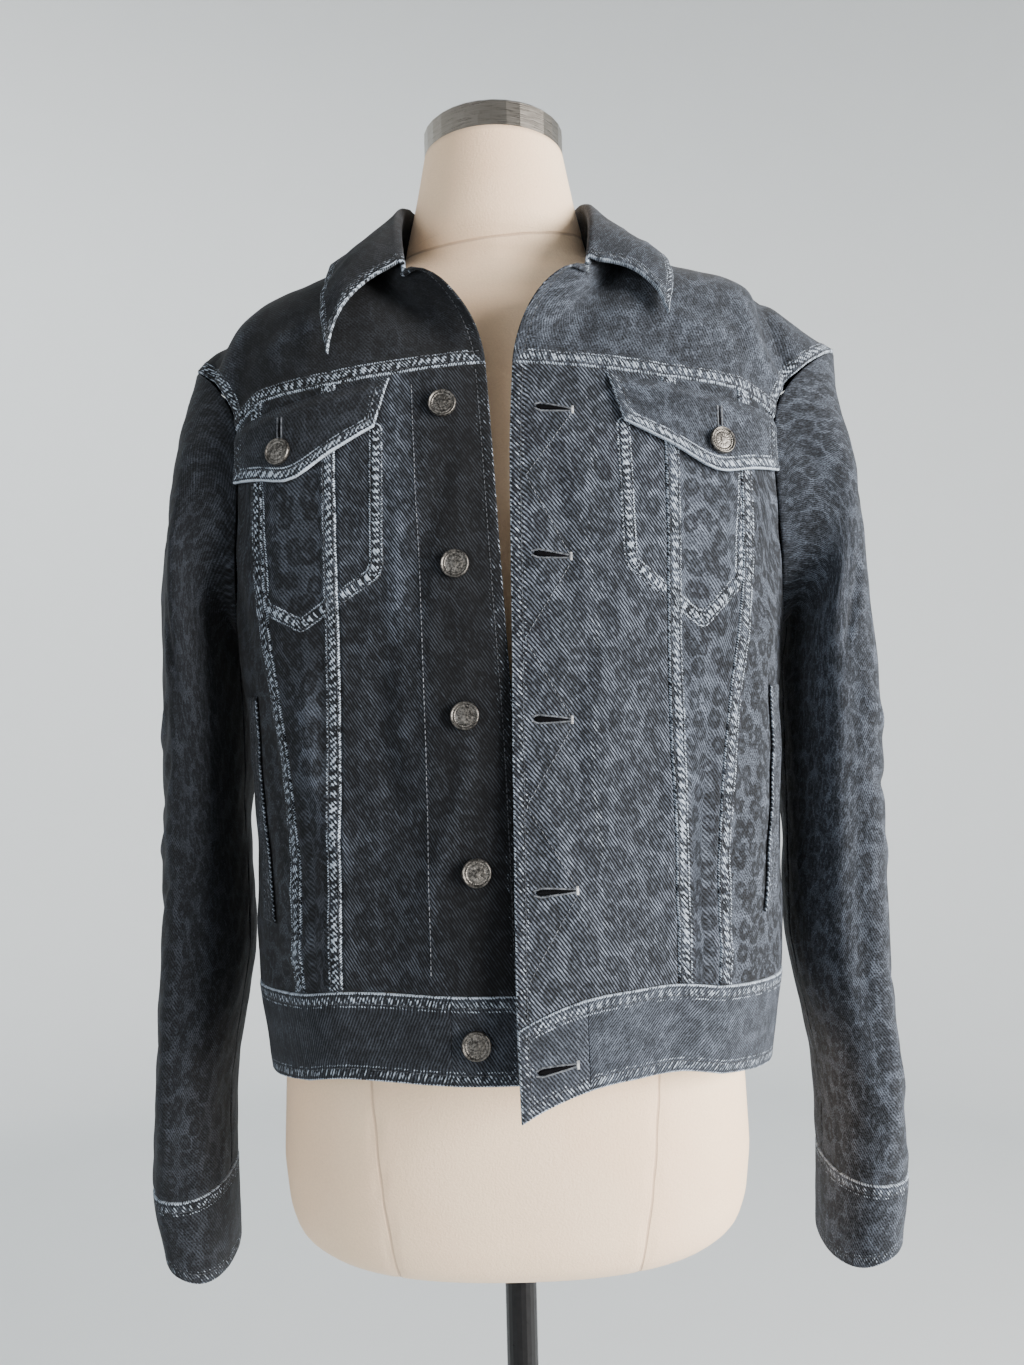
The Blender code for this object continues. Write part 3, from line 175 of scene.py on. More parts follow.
# Where the collar's outer edge lies on the yokes: grid columns, rows below the top, lift, bulge
leafEdge = tableOf("around right left downRight downLeft lift bulge", (
    (0.00, 0.00, 0.00, 1.60, 1.60, 0.0015, 0.003),
    (0.17, 1.55, 1.60, 1.55, 1.55, 0.0030, 0.002),
    (0.34, 2.65, 2.90, 1.25, 1.25, 0.0036, 0.000),
    (0.50, 3.45, 4.20, 0.00, 0.00, 0.0012, -0.003),
    (0.67, 4.35, 4.80, 1.40, 1.30, 0.0012, -0.001),
    (0.84, 5.15, 5.20, 2.85, 2.55, 0.0030, 0.005),
    (1.00, 5.10, 5.10, 4.45, 3.75, 0.0050, 0.010),
))
collarFoldRadius = 0.0034
collarTurn = 170  # degrees from the stand to the leaf
collarSeamGap = 0.0009

# Sleeve rings below the armhole; rise is how much higher the outer side is than the inner
sleeveRings = tableOf("height rise rightX rightHalf leftX leftHalf front back", (
    (1.262, 0.062, 0.2045, 0.0165, 0.2160, 0.0170, 0.069, 0.079),
    (1.205, 0.034, 0.2095, 0.0220, 0.2175, 0.0220, 0.073, 0.081),
    (1.145, 0.014, 0.2100, 0.0240, 0.2210, 0.0260, 0.072, 0.078),
    (1.065, 0.006, 0.2110, 0.0255, 0.2235, 0.0280, 0.066, 0.071),
    (0.975, 0.000, 0.2125, 0.0265, 0.2260, 0.0290, 0.059, 0.062),
    (0.890, 0.000, 0.2230, 0.0230, 0.2375, 0.0250, 0.053, 0.055),
    (0.822, 0.000, 0.2265, 0.0245, 0.2415, 0.0265, 0.047, 0.050),
    (0.769, 0.009, 0.2220, 0.0205, 0.2385, 0.0245, 0.045, 0.048),
))
cuffSeamRing = 7
cuffLapColumns = 1.0
cuffLapStart = 15.5
cuffLapLift = 0.0032
sleeveBackSeam = 15
sleeveSquare = 2.3

# Soft folds pressed into the body (bearing 0 at the centre front, 180 at the centre back)
bodyFolds = tableOf("side bearing height turn wide tall depth", (
    (-1, 24, 1.08, 0, 9, 0.16, -0.0045),
    (-1, 44, 1.10, 30, 8, 0.15, 0.0035),
    (-1, 66, 1.12, -20, 14, 0.11, -0.0035),
    (1, 30, 1.06, 0, 10, 0.17, -0.0040),
    (1, 48, 1.12, 30, 9, 0.14, 0.0035),
    (1, 68, 1.10, -20, 17, 0.12, -0.0024),
    (-1, 128, 1.12, 20, 12, 0.16, -0.0050),
    (1, 124, 1.10, -20, 12, 0.16, -0.0050),
    (-1, 160, 1.16, 0, 9, 0.18, 0.0040),
    (1, 163, 1.12, 0, 10, 0.17, 0.0040),
))
# Long and crosswise folds of the sleeves; around counts columns from the sleeve's outer line
sleeveFolds = tableOf("side around row slant wide tall depth", (
    (-1, 3.0, 5.0, 0.00, 1.3, 5.0, -0.0050),
    (-1, 5.5, 9.0, 0.15, 1.4, 3.0, -0.0045),
    (-1, 17.0, 6.0, 0.00, 1.5, 5.0, -0.0050),
    (-1, 13.0, 10.0, 0.90, 1.6, 1.5, -0.0050),
    (-1, 4.0, 13.0, 0.25, 1.4, 2.6, 0.0040),
    (1, 2.6, 6.0, 0.10, 1.3, 5.5, 0.0045),
    (1, 4.6, 8.0, 0.00, 1.4, 5.0, -0.0050),
    (1, 16.5, 6.0, 0.00, 1.5, 5.0, -0.0050),
    (1, 13.5, 10.5, 0.90, 1.6, 1.5, -0.0050),
    (1, 3.4, 13.0, 0.20, 1.4, 2.6, 0.0040),
))

# Chest flap and pocket outlines: x at the inner end, and how far out each corner is (0 to 1)
flapTopX = 0.066
flapLow = tableOf("out xLow height", (
    (0.00, 0.075, 1.3155),
    (0.30, 0.105, 1.3005),
    (0.58, 0.133, 1.2860),
    (0.80, 0.152, 1.2885),
    (1.00, 0.170, 1.2905),
))
flapStartColumn = 4.0
flapEndColumn = 11.6
flapBelowSeam = 0.0012
pocketTopX = 0.070
pocketTop = 1.338
pocketLow = tableOf("out xLow height", (
    (0.00, 0.0735, 1.2270),
    (0.20, 0.088, 1.2125),
    (0.55, 0.122, 1.1925),
    (0.85, 0.143, 1.2070),
    (1.00, 0.152, 1.2160),
))
pocketTopOut = 0.160
pocketWall = 0.0010
weltLine = tableOf("height share", ((1.014, 0.860), (1.058, 0.893), (1.1245, 0.925), (1.155, 0.905)))
weltWidth = 0.011
weltWall = 0.0014

FrontButton = namedtuple("FrontButton", "x height")
frontButtons = tuple(FrontButton(*row) for row in (
    (0.034, 1.329),
    (0.028, 1.231),
    (0.024, 1.141),
    (0.019, 1.051),
    (0.021, 0.954),
))
flapButton = FrontButton(0.134, 1.3045)

# Dress form and stand
FormRing = namedtuple("FormRing", "height half front back square")
formRingRows = tuple(FormRing(*row) for row in (
    (0.787, 0.130, 0.080, 0.076, 2.4),
    (0.790, 0.142, 0.092, 0.088, 2.4),
    (0.799, 0.152, 0.102, 0.099, 2.4),
    (0.815, 0.157, 0.108, 0.106, 2.4),
    (0.845, 0.1600, 0.110, 0.109, 2.4),
    (0.900, 0.1580, 0.108, 0.109, 2.35),
    (0.980, 0.1470, 0.100, 0.098, 2.3),
    (1.060, 0.1340, 0.089, 0.088, 2.25),
    (1.140, 0.1380, 0.092, 0.094, 2.25),
    (1.220, 0.1490, 0.103, 0.104, 2.3),
    (1.280, 0.1560, 0.102, 0.108, 2.4),
    (1.340, 0.1610, 0.088, 0.104, 2.5),
    (1.385, 0.1640, 0.073, 0.092, 2.5),
    (1.410, 0.1630, 0.058, 0.068, 2.3),
))
# The shoulder ridge of the form lies this far below the right shoulder seam
formRidge = tableOf("x below front back square", (
    (0.156, 0.0025, 0.047, 0.051, 2.00),
    (0.132, 0.0028, 0.047, 0.050, 1.75),
    (0.106, 0.0032, 0.045, 0.049, 1.50),
    (0.084, 0.0052, 0.0425, 0.049, 1.50),
))
formNeck = tuple(FormRing(*row) for row in (
    (1.4525, 0.0655, 0.0465, 0.052, 1.75),
    (1.4700, 0.0608, 0.055, 0.056, 2.0),
    (1.4900, 0.0560, 0.054, 0.055, 2.0),
    (1.5100, 0.0520, 0.051, 0.0515, 2.0),
    (1.5275, 0.0487, 0.0487, 0.0487, 2.0),
))


def hermite(start, end, slopeStart, slopeEnd, t):
    # Cubic between two values with given slopes, t from 0 to 1.
    t2 = t * t
    t3 = t2 * t
    return (
        (2 * t3 - 3 * t2 + 1) * start
        + (t3 - 2 * t2 + t) * slopeStart
        + (3 * t2 - 2 * t3) * end
        + (t3 - t2) * slopeEnd
    )


def read(rows, name, at):
    # The named column of a table as a smooth function of its first column.
    keys = np.array([row[0] for row in rows])
    values = np.array([getattr(row, name) for row in rows])
    slopes = np.gradient(values, keys)
    at = np.clip(at, keys[0], keys[-1])
    i = np.clip(np.searchsorted(keys, at, side="right") - 1, 0, len(keys) - 2)
    width = keys[i + 1] - keys[i]
    return hermite(values[i], values[i + 1], slopes[i] * width, slopes[i + 1] * width, (at - keys[i]) / width)


def smoothStep(t):
    t = np.clip(t, 0.0, 1.0)
    return t * t * (3 - 2 * t)


def unit(vectors):
    return vectors / np.maximum(np.linalg.norm(vectors, axis=-1, keepdims=True), 1e-12)


def bell(away, width):
    return np.exp(-((away / width) ** 2))


def point(x, y, z):
    return np.stack(np.broadcast_arrays(x, y, z), axis=-1).astype(float)


def sideName(side):
    return "left" if side == leftSide else "right"


def halfWidth(side, z):
    return read(bodyRings, sideName(side), z)


def bearingAtX(side, x, z):
    # Angle on the front ring, 0 at the centre front, where the ring is x wide.
    square = read(bodyRings, "square", z)
    share = np.clip(np.abs(x) / halfWidth(side, z), 0, 0.9999) ** square
    return np.sign(x) * np.arctan((share / (1 - share)) ** (1 / square))


def bearingAtY(depth, y, square):
    # Angle on a ring of this depth where it is y deep.
    share = np.clip(y / depth, 1e-6, 1) ** square
    return np.arctan(((1 - share) / share) ** (1 / square))


def armholeDepth(z, depth):
    middle = (armholeTop + underarm) / 2
    reach = (armholeTop - underarm) / 2
    return depth * np.sqrt(np.clip(1 - ((z - middle) / reach) ** 2, 0, 1))


def bodyRelief(side, bearing, z):
    # How far the soft folds move the cloth out (positive) at a bearing in degrees.
    moved = np.zeros(np.broadcast(bearing, z).shape)
    for fold in bodyFolds:
        if fold.side != side:
            continue
        rise = (z - fold.height) / fold.tall
        across = (bearing - fold.bearing - fold.turn * (z - fold.height)) / fold.wide
        moved = moved + fold.depth * np.exp(-(across**2) - rise**4)
    return moved


def ringPoint(side, bearing, z, front):
    # Point of the body ring; bearing runs from 0 at the centre to 90 degrees at the side.
    square = read(bodyRings, "square", z)
    depth = read(bodyRings, "front" if front else "back", z)
    sine, cosine = np.sin(bearing), np.cos(bearing)
    reach = (np.abs(sine) ** square + np.abs(cosine) ** square) ** (-1 / square)
    degrees = np.degrees(bearing) if front else 180 - np.degrees(bearing)
    moved = bodyRelief(side, degrees, z)
    x = side * (halfWidth(side, z) * reach + moved) * sine
    y = (depth * reach + moved) * cosine
    return point(x, -y if front else y, z)


def frontHeight(side, u, v):
    # Height of a grid point of a front, up to the yoke seam.
    lift = 1 - smoothStep((u - 4) / 8)
    dip = edgeDipLeft * np.clip(1 - u / 3, 0, 1) ** 2 if side == leftSide else 0.0
    hem = hemSide + (hemFront - hemSide) * lift - dip
    band = bandSide + (bandFront - bandSide) * lift - dip
    yoke = yokeFront - yokeDrop * np.clip(u / frontColumns, 0, 1) ** 1.3
    return stackedHeight(v, hem, band, yoke)


def stackedHeight(v, hem, band, yoke):
    inBand = np.clip(v / bandRow, 0, 1)
    inBody = np.clip((v - bandRow) / (underarmRow - bandRow), 0, 1)
    inChest = np.clip((v - underarmRow) / (yokeRow - underarmRow), 0, 1) ** chestSpread
    return hem + (band - hem) * inBand + (underarm - band) * inBody + (yoke - underarm) * inChest


def frontBearing(side, u, z):
    edgeX = read(frontEdges, sideName(side), z) * side
    edge = bearingAtX(side, edgeX, z)
    seam1 = bearingAtX(side, seam1X, z)
    seam2 = bearingAtX(side, read(seam2Line, "x", z), z)
    depth = read(bodyRings, "front", z)
    square = read(bodyRings, "square", z)
    sideLine = bearingAtY(depth, armholeDepth(z, armDepthFront), square)
    inCentre = np.clip(u / frontCentre, 0, 1)
    inMid = np.clip((u - frontCentre) / frontMid, 0, 1)
    inSide = np.clip((u - frontCentre - frontMid) / frontSide, 0, 1)
    return edge + (seam1 - edge) * inCentre + (seam2 - seam1) * inMid + (sideLine - seam2) * inSide


def frontAt(side, u, z):
    # Point of a front below the yoke, from its column and height.
    found = ringPoint(side, frontBearing(side, u, z), z, True)
    flare = read(frontEdges, "flare", z) * np.clip(1 - u / frontCentre, 0, 1) ** 1.5
    found[..., 1] -= flare * (side == leftSide)
    return found


def shoulderPoint(side, out):
    name = sideName(side)
    x = read(shoulderLine, name + "X", out)
    z = read(shoulderLine, name + "Z", out)
    return point(side * x, 0.004 * (1 - np.clip(out, 0, 1)), z)


def neckPoint(side, around, which="seam"):
    x = read(neckLine, which + "X", around)
    return point(side * x, read(neckLine, which + "Y", around), read(neckLine, which + "Z", around))


def shoulderShare(u, neck, middle, end):
    # How far out along the shoulder a column ends.
    return np.interp(u, (neck, middle, end), (0.0, middleShare, 1.0))


def yokePatch(bottom, lean, top, pastNeck, t, neckSlope, shoulderSlope, turn=0.0):
    # Cloth from a yoke seam up and over to the shoulder or neck seam, t from 0 to 1.
    # The slopes are the directions in which it arrives; turn bends the front edge's end outward.
    span = np.linalg.norm(top - bottom, axis=-1, keepdims=True)
    rise = unit(lean) * span * yokeRise
    atShoulder = smoothStep(pastNeck / 2 + neckBlend)[..., None]
    over = neckSlope + (shoulderSlope - neckSlope) * atShoulder
    fullness = yokeOverNeck + (yokeOver - yokeOverNeck) * atShoulder
    over = over + point(turn, 0.0, -0.6 * np.abs(turn))
    over = unit(over) * span * fullness
    return hermite(bottom, top, rise, over, t[..., None])


def frontSurface(side, u, v):
    # The outer face of a front at grid column u and row v.
    u, v = np.broadcast_arrays(np.asarray(u, float), np.asarray(v, float))
    z = frontHeight(side, u, v)
    found = frontAt(side, u, z)
    t = np.clip((v - yokeRow) / (topRow - yokeRow), 0, 1)
    lean = frontAt(side, u, z) - frontAt(side, u, z - 0.004)
    atNeck = u < neckColumn
    around = 1 - 0.5 * np.clip(u / neckColumn, 0, 1)
    out = shoulderShare(u, neckColumn, frontShoulderColumn, frontColumns)
    top = np.where(atNeck[..., None], neckPoint(side, around), shoulderPoint(side, out))
    nearEdge = np.clip(1 - u / edgeColumns, 0, 1) ** 2
    mirror = np.array([side, 1.0, 1.0])
    turn = side * edgeTurn * nearEdge
    nearCorner = smoothStep(u / 2) * (1 - smoothStep((u - neckColumn) / cornerFade))
    swing = cornerSwing * mirror * nearCorner[..., None]
    neckSlope, shoulderSlope = frontNeckSlope * mirror + swing, shoulderArrival + swing
    yoke = yokePatch(found, lean, top, u - neckColumn, t, neckSlope, shoulderSlope, turn)
    yoke[..., 1] -= edgeCurl * nearEdge * smoothStep(2.2 * t) * smoothStep(2.5 * (1.15 - t))
    return np.where((v > yokeRow)[..., None], yoke, found)


def backAt(side, u, z):
    seam = bearingAtX(side, read(backSeam, "x", z), z)
    depth = read(bodyRings, "back", z)
    square = read(bodyRings, "square", z)
    sideLine = bearingAtY(depth, armholeDepth(z, armDepthBack), square)
    inCentre = np.clip(u / backCentre, 0, 1)
    inSide = np.clip((u - backCentre) / backSide, 0, 1)
    return ringPoint(side, seam * inCentre + (sideLine - seam) * inSide, z, False)


def halfBack(side, u, v):
    share = smoothStep(u / backColumns)
    hem = hemBack + (hemSide - hemBack) * share
    band = bandBack + (bandSide - bandBack) * share
    yoke = yokeBack - yokeBackDrop * (u / backColumns) ** 2
    z = stackedHeight(v, hem, band, yoke)
    found = backAt(side, u, z)
    t = np.clip((v - yokeRow) / (topRow - yokeRow), 0, 1)
    lean = backAt(side, u, z) - backAt(side, u, z - 0.004)
    atNeck = u < backNeckColumn
    around = 0.5 * np.clip(u / backNeckColumn, 0, 1)
    out = shoulderShare(u, backNeckColumn, backShoulderColumn, backColumns)
    top = np.where(atNeck[..., None], neckPoint(side, around), shoulderPoint(side, out))
    overBack = shoulderArrival * np.array([1.0, -1.0, 1.0])
    yokePart = yokePatch(found, lean, top, u - backNeckColumn, t, backNeckSlope, overBack)
    return np.where((v > yokeRow)[..., None], yokePart, found)


def backSurface(u, v):
    # The outer face of the back; u runs from the right side (negative) to the left side.
    u, v = np.broadcast_arrays(np.asarray(u, float), np.asarray(v, float))
    right = halfBack(rightSide, np.clip(-u, 0, None), v)
    left = halfBack(leftSide, np.clip(u, 0, None), v)
    return np.where((u < 0)[..., None], right, left)


def normals(surface, u, v, uEnds, vEnds, inside):
    # Outward unit normals of a surface, from small steps kept within its ends.
    step = 1e-3
    across = surface(np.clip(u + step, *uEnds), v) - surface(np.clip(u - step, *uEnds), v)
    along = surface(u, np.clip(v + step, *vEnds)) - surface(u, np.clip(v - step, *vEnds))
    found = unit(np.cross(across, along))
    outward = np.sum(found * (surface(u, v) - inside), axis=-1, keepdims=True)
    return found * np.sign(outward)


def armholeLoop(side, around):
    # The armhole: 0 at the sleeve head, down the front, and up the back from armholeSteps on.
    around = np.mod(around, sleeveColumns)
    front = frontSurface(side, frontColumns, np.clip(topRow - around, underarmRow, topRow))
    backRow = np.clip(underarmRow + around - armholeSteps, underarmRow, topRow)
    back = backSurface(side * backColumns, backRow)
    return np.where((around <= armholeSteps)[..., None], front, back)


def sleeveRing(side, ring, around):
    # One ring of the sleeve table, with the same columns as the armhole.
    name = sideName(side)
    angle = 2 * math.pi * around / sleeveColumns
    sine, cosine = np.sin(angle), np.cos(angle)
    reach = (np.abs(sine) ** sleeveSquare + np.abs(cosine) ** sleeveSquare) ** (-1 / sleeveSquare)
    x = getattr(ring, name + "X") + getattr(ring, name + "Half") * reach * cosine
    y = -np.where(sine > 0, ring.front, ring.back) * reach * sine
    return point(side * x, y, ring.height + ring.rise * cosine)


def sleeveRelief(side, around, row):
    moved = np.zeros(np.broadcast(around, row).shape)
    for fold in sleeveFolds:
        if fold.side != side:
            continue
        along = (row - fold.row) / fold.tall
        turned = np.mod(around - fold.around - fold.slant * (row - fold.row) + 10, 20) - 10
        moved = moved + fold.depth * np.exp(-((turned / fold.wide) ** 2) - along**4)
    return moved * smoothStep(row / 3) * smoothStep((sleeveRows - row) / 1.5)


def sleeveSurface(side, around, row):
    # The sleeve's outer face from the armhole (row 0) to the cuff's end.
    around, row = np.broadcast_arrays(np.asarray(around, float), np.asarray(row, float))
    rings = [armholeLoop(side, around)]
    rings += [sleeveRing(side, ring, around) for ring in sleeveRings]
    rings = np.array(rings)
    bodyKeys = np.clip(row, 0, sleeveRows) / sleeveRows * cuffSeamRing
    cuffKeys = np.clip(row - sleeveRows, 0, cuffRows) / cuffRows
    key = np.clip(bodyKeys + cuffKeys, 0, len(rings) - 1)
    slopes = np.gradient(rings, axis=0)
    i = np.clip(np.floor(key).astype(int), 0, len(rings) - 2)
    take = tuple(np.indices(i.shape))
    t = (key - i)[..., None]
    low, high = (i,) + take, (i + 1,) + take
    found = hermite(rings[low], rings[high], slopes[low], slopes[high], t)
    angle = 2 * math.pi * around / sleeveColumns
    outward = point(side * np.cos(angle), -np.sin(angle), 0.0)
    return found + outward * sleeveRelief(side, around, row)[..., None]


def sleeveAxis(side, row):
    # Middle of the sleeve at a row, used to tell its outer side.
    quarters = [sleeveSurface(side, np.full(np.shape(row), q * sleeveColumns / 4), row) for q in range(4)]
    return sum(quarters) / 4


def bandSurface(u, v):
    # The waistband's ring: u counts columns from the right front edge round the back.
    u, v = np.broadcast_arrays(np.asarray(u, float), np.asarray(v, float))
    right = frontSurface(rightSide, np.clip(u, 0, frontColumns), v)
    back = backSurface(np.clip(u - frontColumns - backColumns, *backEnds), v)
    leftU = frontColumns - (u - frontColumns - 2 * backColumns)
    left = frontSurface(leftSide, np.clip(leftU, 0, frontColumns), v)
    found = np.where((u <= frontColumns)[..., None], right, back)
    return np.where((u > frontColumns + 2 * backColumns)[..., None], left, found)


def gridPlace(side, x, z):
    # Grid column and row of the front point that lies x from the centre at height z.
    bearing = bearingAtX(side, x, z)
    lines = [frontBearing(side, np.full(np.shape(z), float(c)), z) for c in frontSeams]
    u = np.zeros(np.broadcast(x, z).shape)
    for low, high, start, end in zip(lines[:-1], lines[1:], frontSeams[:-1], frontSeams[1:]):
        share = (bearing - low) / (high - low)
        u = np.where(bearing >= low, start + (end - start) * share, u)
    band = frontHeight(side, u, float(bandRow))
    yoke = frontHeight(side, u, float(yokeRow))
    hem = frontHeight(side, u, 0.0)
    inBand = bandRow * (z - hem) / (band - hem)
    inBody = bandRow + (underarmRow - bandRow) * (z - band) / (underarm - band)
    inChest = np.clip((z - underarm) / (yoke - underarm), 0, 1) ** (1 / chestSpread)
    inChest = underarmRow + (yokeRow - underarmRow) * inChest
    return u, np.where(z < band, inBand, np.where(z < underarm, inBody, inChest))


def flapGrid(side, share, drop):
    # Distance from the centre and height of a flap point; drop is 0 at the yoke seam.
    column = flapStartColumn + (flapEndColumn - flapStartColumn) * share
    topZ = frontHeight(side, column, float(yokeRow)) - flapBelowSeam
    lowZ = read(flapLow, "height", share)
    z = topZ + (lowZ - topZ) * drop
    end = np.abs(frontAt(side, flapEndColumn, z)[..., 0])
    inner = flapTopX + (flapLow[0].xLow - flapTopX) * drop
    return inner + (end - inner) * share, z


def pocketGrid(share, drop):
    top = pocketTopX + (pocketTopOut - pocketTopX) * share
    x = top + (read(pocketLow, "xLow", share) - top) * drop
    return x, pocketTop + (read(pocketLow, "height", share) - pocketTop) * drop


def cuffGrid(side, share, row, out):
    # Cuff points: share runs once round and laps over its own start at the sleeve's back.
    around = cuffLapStart - sleeveColumns + share * (sleeveColumns + cuffLapColumns)
    face = sleeveSurface(side, around, row)
    angle = 2 * math.pi * around / sleeveColumns
    outward = point(side * np.cos(angle), -np.sin(angle), 0.0)
    lap = cuffLapLift * smoothStep((share - 0.80) / 0.15)
    return face + outward * (out + lap)[..., None]


def cuffButtonSeat(side):
    # Middle of the cuff's last column on its middle row, and the outward normal there.
    share = np.array([1 - 1 / cuffColumns, 1.0])
    middle = cuffGrid(side, share, np.full(2, sleeveRows + cuffRows / 2), np.full(2, bandOut))
    end = cuffGrid(side, share, np.full(2, float(sleeveRows + cuffRows)), np.full(2, bandOut))
    place = middle.mean(axis=0)
    facing = unit(np.cross(middle[1] - middle[0], end.mean(axis=0) - place))
    return place, facing * np.sign(np.dot(facing, place - sleeveAxis(side, np.array(sleeveRows + 1.0))))


def formRings():
    # Height, half width, depths and squareness of each ring of the form, bottom to top.
    rings = list(formRingRows)
    first, second = shoulderLine[0], shoulderLine[2]
    slope = (second.rightZ - first.rightZ) / (second.rightX - first.rightX)
    for ridge in formRidge:
        height = first.rightZ + slope * (ridge.x - first.rightX) - ridge.below
        rings.append(FormRing(height, ridge.x, ridge.front, ridge.back, ridge.square))
    return rings + list(formNeck)


bodyInside = np.array([0.0, 0.0, 1.2])
frontEnds = (0, frontColumns)
backEnds = (-backColumns, backColumns)
rowEnds = (0, topRow)


clothLook = {
    "gridStep": 0.0031,
    "innerStride": 3,
    "seamLines": (0, 0.0005, 0.0012, 0.0018, 0.003, 0.0042, 0.0054, 0.0066, 0.0078, 0.0088, 0.01, 0.0118),
    "endRoom": 2.6,
    "seamGap": 0.00015,
    "innerRelief": 0.6,
}


def spacing(length, step):
    # Distances across a piece: close together beside both seams, even between them.
    near = np.array(clothLook["seamLines"])
    near = near * min(1.0, length / (clothLook["endRoom"] * near[-1]))
    middle = max(int(round((length - 2 * near[-1]) / step)), 2)
    between = np.linspace(near[-1], length - near[-1], middle + 1)[1:-1]
    return np.concatenate([near, between, length - near[::-1]])


def lengthsAlong(points, axis):
    steps = np.linalg.norm(np.diff(points, axis=axis), axis=-1)
    total = np.cumsum(steps, axis=axis)
    lead = np.zeros_like(np.take(total, [0], axis=axis))
    return np.concatenate([lead, total], axis=axis)


def fineGrid(surface, uEnds, vEnds, step=clothLook["gridStep"], samples=90):
    # Grid parameters at set distances from all four edges of a piece, with those distances.
    u, v = np.linspace(*uEnds, samples), np.linspace(*vEnds, samples)
    points = surface(*np.meshgrid(u, v))
    across, along = lengthsAlong(points, 1), lengthsAlong(points, 0)
    widths, heights = across[:, -1], along[-1, :]
    shareU, shareV = spacing(widths.mean(), step), spacing(heights.mean(), step)
    rows, columns = len(shareV), len(shareU)
    gridV = np.repeat(np.interp(shareV, along.mean(axis=1), v)[:, None], columns, axis=1)
    gridU = np.zeros((rows, columns))
    for turn in range(2):
        for r in range(rows):
            gridU[r] = settle(across, widths, shareU, u, (gridV[r] - v[0]) / (v[1] - v[0]))
        for c in range(columns):
            gridV[:, c] = settle(along.T, heights, shareV, v, (gridU[:, c] - u[0]) / (u[1] - u[0]))
    found = surface(gridU, gridV)
    sU, sV = lengthsAlong(found, 1), lengthsAlong(found, 0)
    return {
        "u": gridU, "v": gridV, "points": found, "sU": sU, "sV": sV,
        "lowU": sU, "highU": sU[:, -1:] - sU, "lowV": sV, "highV": sV[-1:, :] - sV,
    }


def settle(table, lengths, shares, values, places):
    # Parameters along one grid line, at the wanted distances from its two ends.
    at = np.clip(places, 0, len(lengths) - 1).mean()
    length = np.interp(at, np.arange(len(lengths)), lengths)
    low = int(min(math.floor(at), len(table) - 2))
    line = table[low] * (1 - at + low) + table[low + 1] * (at - low)
    return np.interp(stretchEnds(shares, lengths.mean(), length), line, values)


def stretchEnds(distances, whole, wanted):
    # The same distances near both ends, with the middle stretched to another length.
    room = clothLook["endRoom"]
    near = min(clothLook["seamLines"][-1], whole / room, wanted / room)

    def half(distance):
        kept = np.minimum(distance, whole / 2)
        stretched = near + (kept - near) * (wanted / 2 - near) / max(whole / 2 - near, 1e-6)
        return np.where(kept <= near, kept, stretched)

    return np.where(distances <= whole / 2, half(distances), wanted - half(whole - distances))


def surfaceNormals(points, inside):
    across = np.gradient(points, axis=1)
    along = np.gradient(points, axis=0)
    found = unit(np.cross(across, along))
    return found * np.sign(np.sum(found * (points - inside)))


def bandMask(across, low, high, soft):
    return smoothStep((across - low) / soft + 0.5) * smoothStep((high - across) / soft + 0.5)


seamLook = {
    "felledRows": (0.0018, 0.0078), "felledHeight": 0.0007, "felledEdge": 0.0012, "felledEnd": 0.0084,
    "felledFade": 0.0030, "felledWear": 0.10, "felledRope": 1.35,
    "edgeRow": 0.0066, "edgeWear": 0.34, "edgeReach": 0.0014, "edgeBand": 0.06, "edgePucker": 0.00012,
    "groove": 0.00030, "felledGroove": 0.0006, "edgeGroove": 0.0007, "maskSoft": 0.0020,
    "rounding": 0.0006, "roundingReach": 0.0012, "plainRounding": 0.0009, "plainReach": 0.0022,
    "outlineHeight": 0.00055, "outlineReach": 0.0026, "outlineGroove": 0.0046, "outlineFrom": 0.0048,
}


def felledSeam(across, along, start):
    # A felled seam: a raised strip between two stitched grooves, puckered along its length.
    look = seamLook
    strip = smoothStep(across / look["felledEdge"])
    strip = strip * (1 - smoothStep((across - look["felledEnd"]) / look["felledFade"]))
    grooves = sum(bell(across - row, look["felledGroove"]) for row in look["felledRows"])
    sway = 1 + 0.22 * np.sin(along * 290 + start) + 0.16 * np.sin(along * 470 + 2 * start)
    return look["felledHeight"] * strip * sway - look["groove"] * grooves


def openEdge(across, along, start):
    # A turned and stitched edge: rounded lip, one groove, gentle puckers.
    look = seamLook
    groove = bell(across - look["edgeRow"], look["edgeGroove"])
    sway = np.sin(along * 300 + start) + 0.7 * np.sin(along * 510 + 2 * start)
    lip = bandMask(across, 0.0010, look["edgeRow"], 0.0024)
    return look["edgePucker"] * sway * lip - look["groove"] * groove


def edgeRounding(across, depth=seamLook["rounding"], reach=seamLook["roundingReach"]):
    return -depth * np.clip(1 - across / reach, 0, 1) ** 2


def layRope(values, distance, run, strength):
    # Each place takes its rope from the nearest seam.
    nearer = distance < values["seamAcross"]
    for label, value in (("seamAlong", run), ("roped", strength), ("seamAcross", distance)):
        values[label] = np.where(nearer, value, values[label])


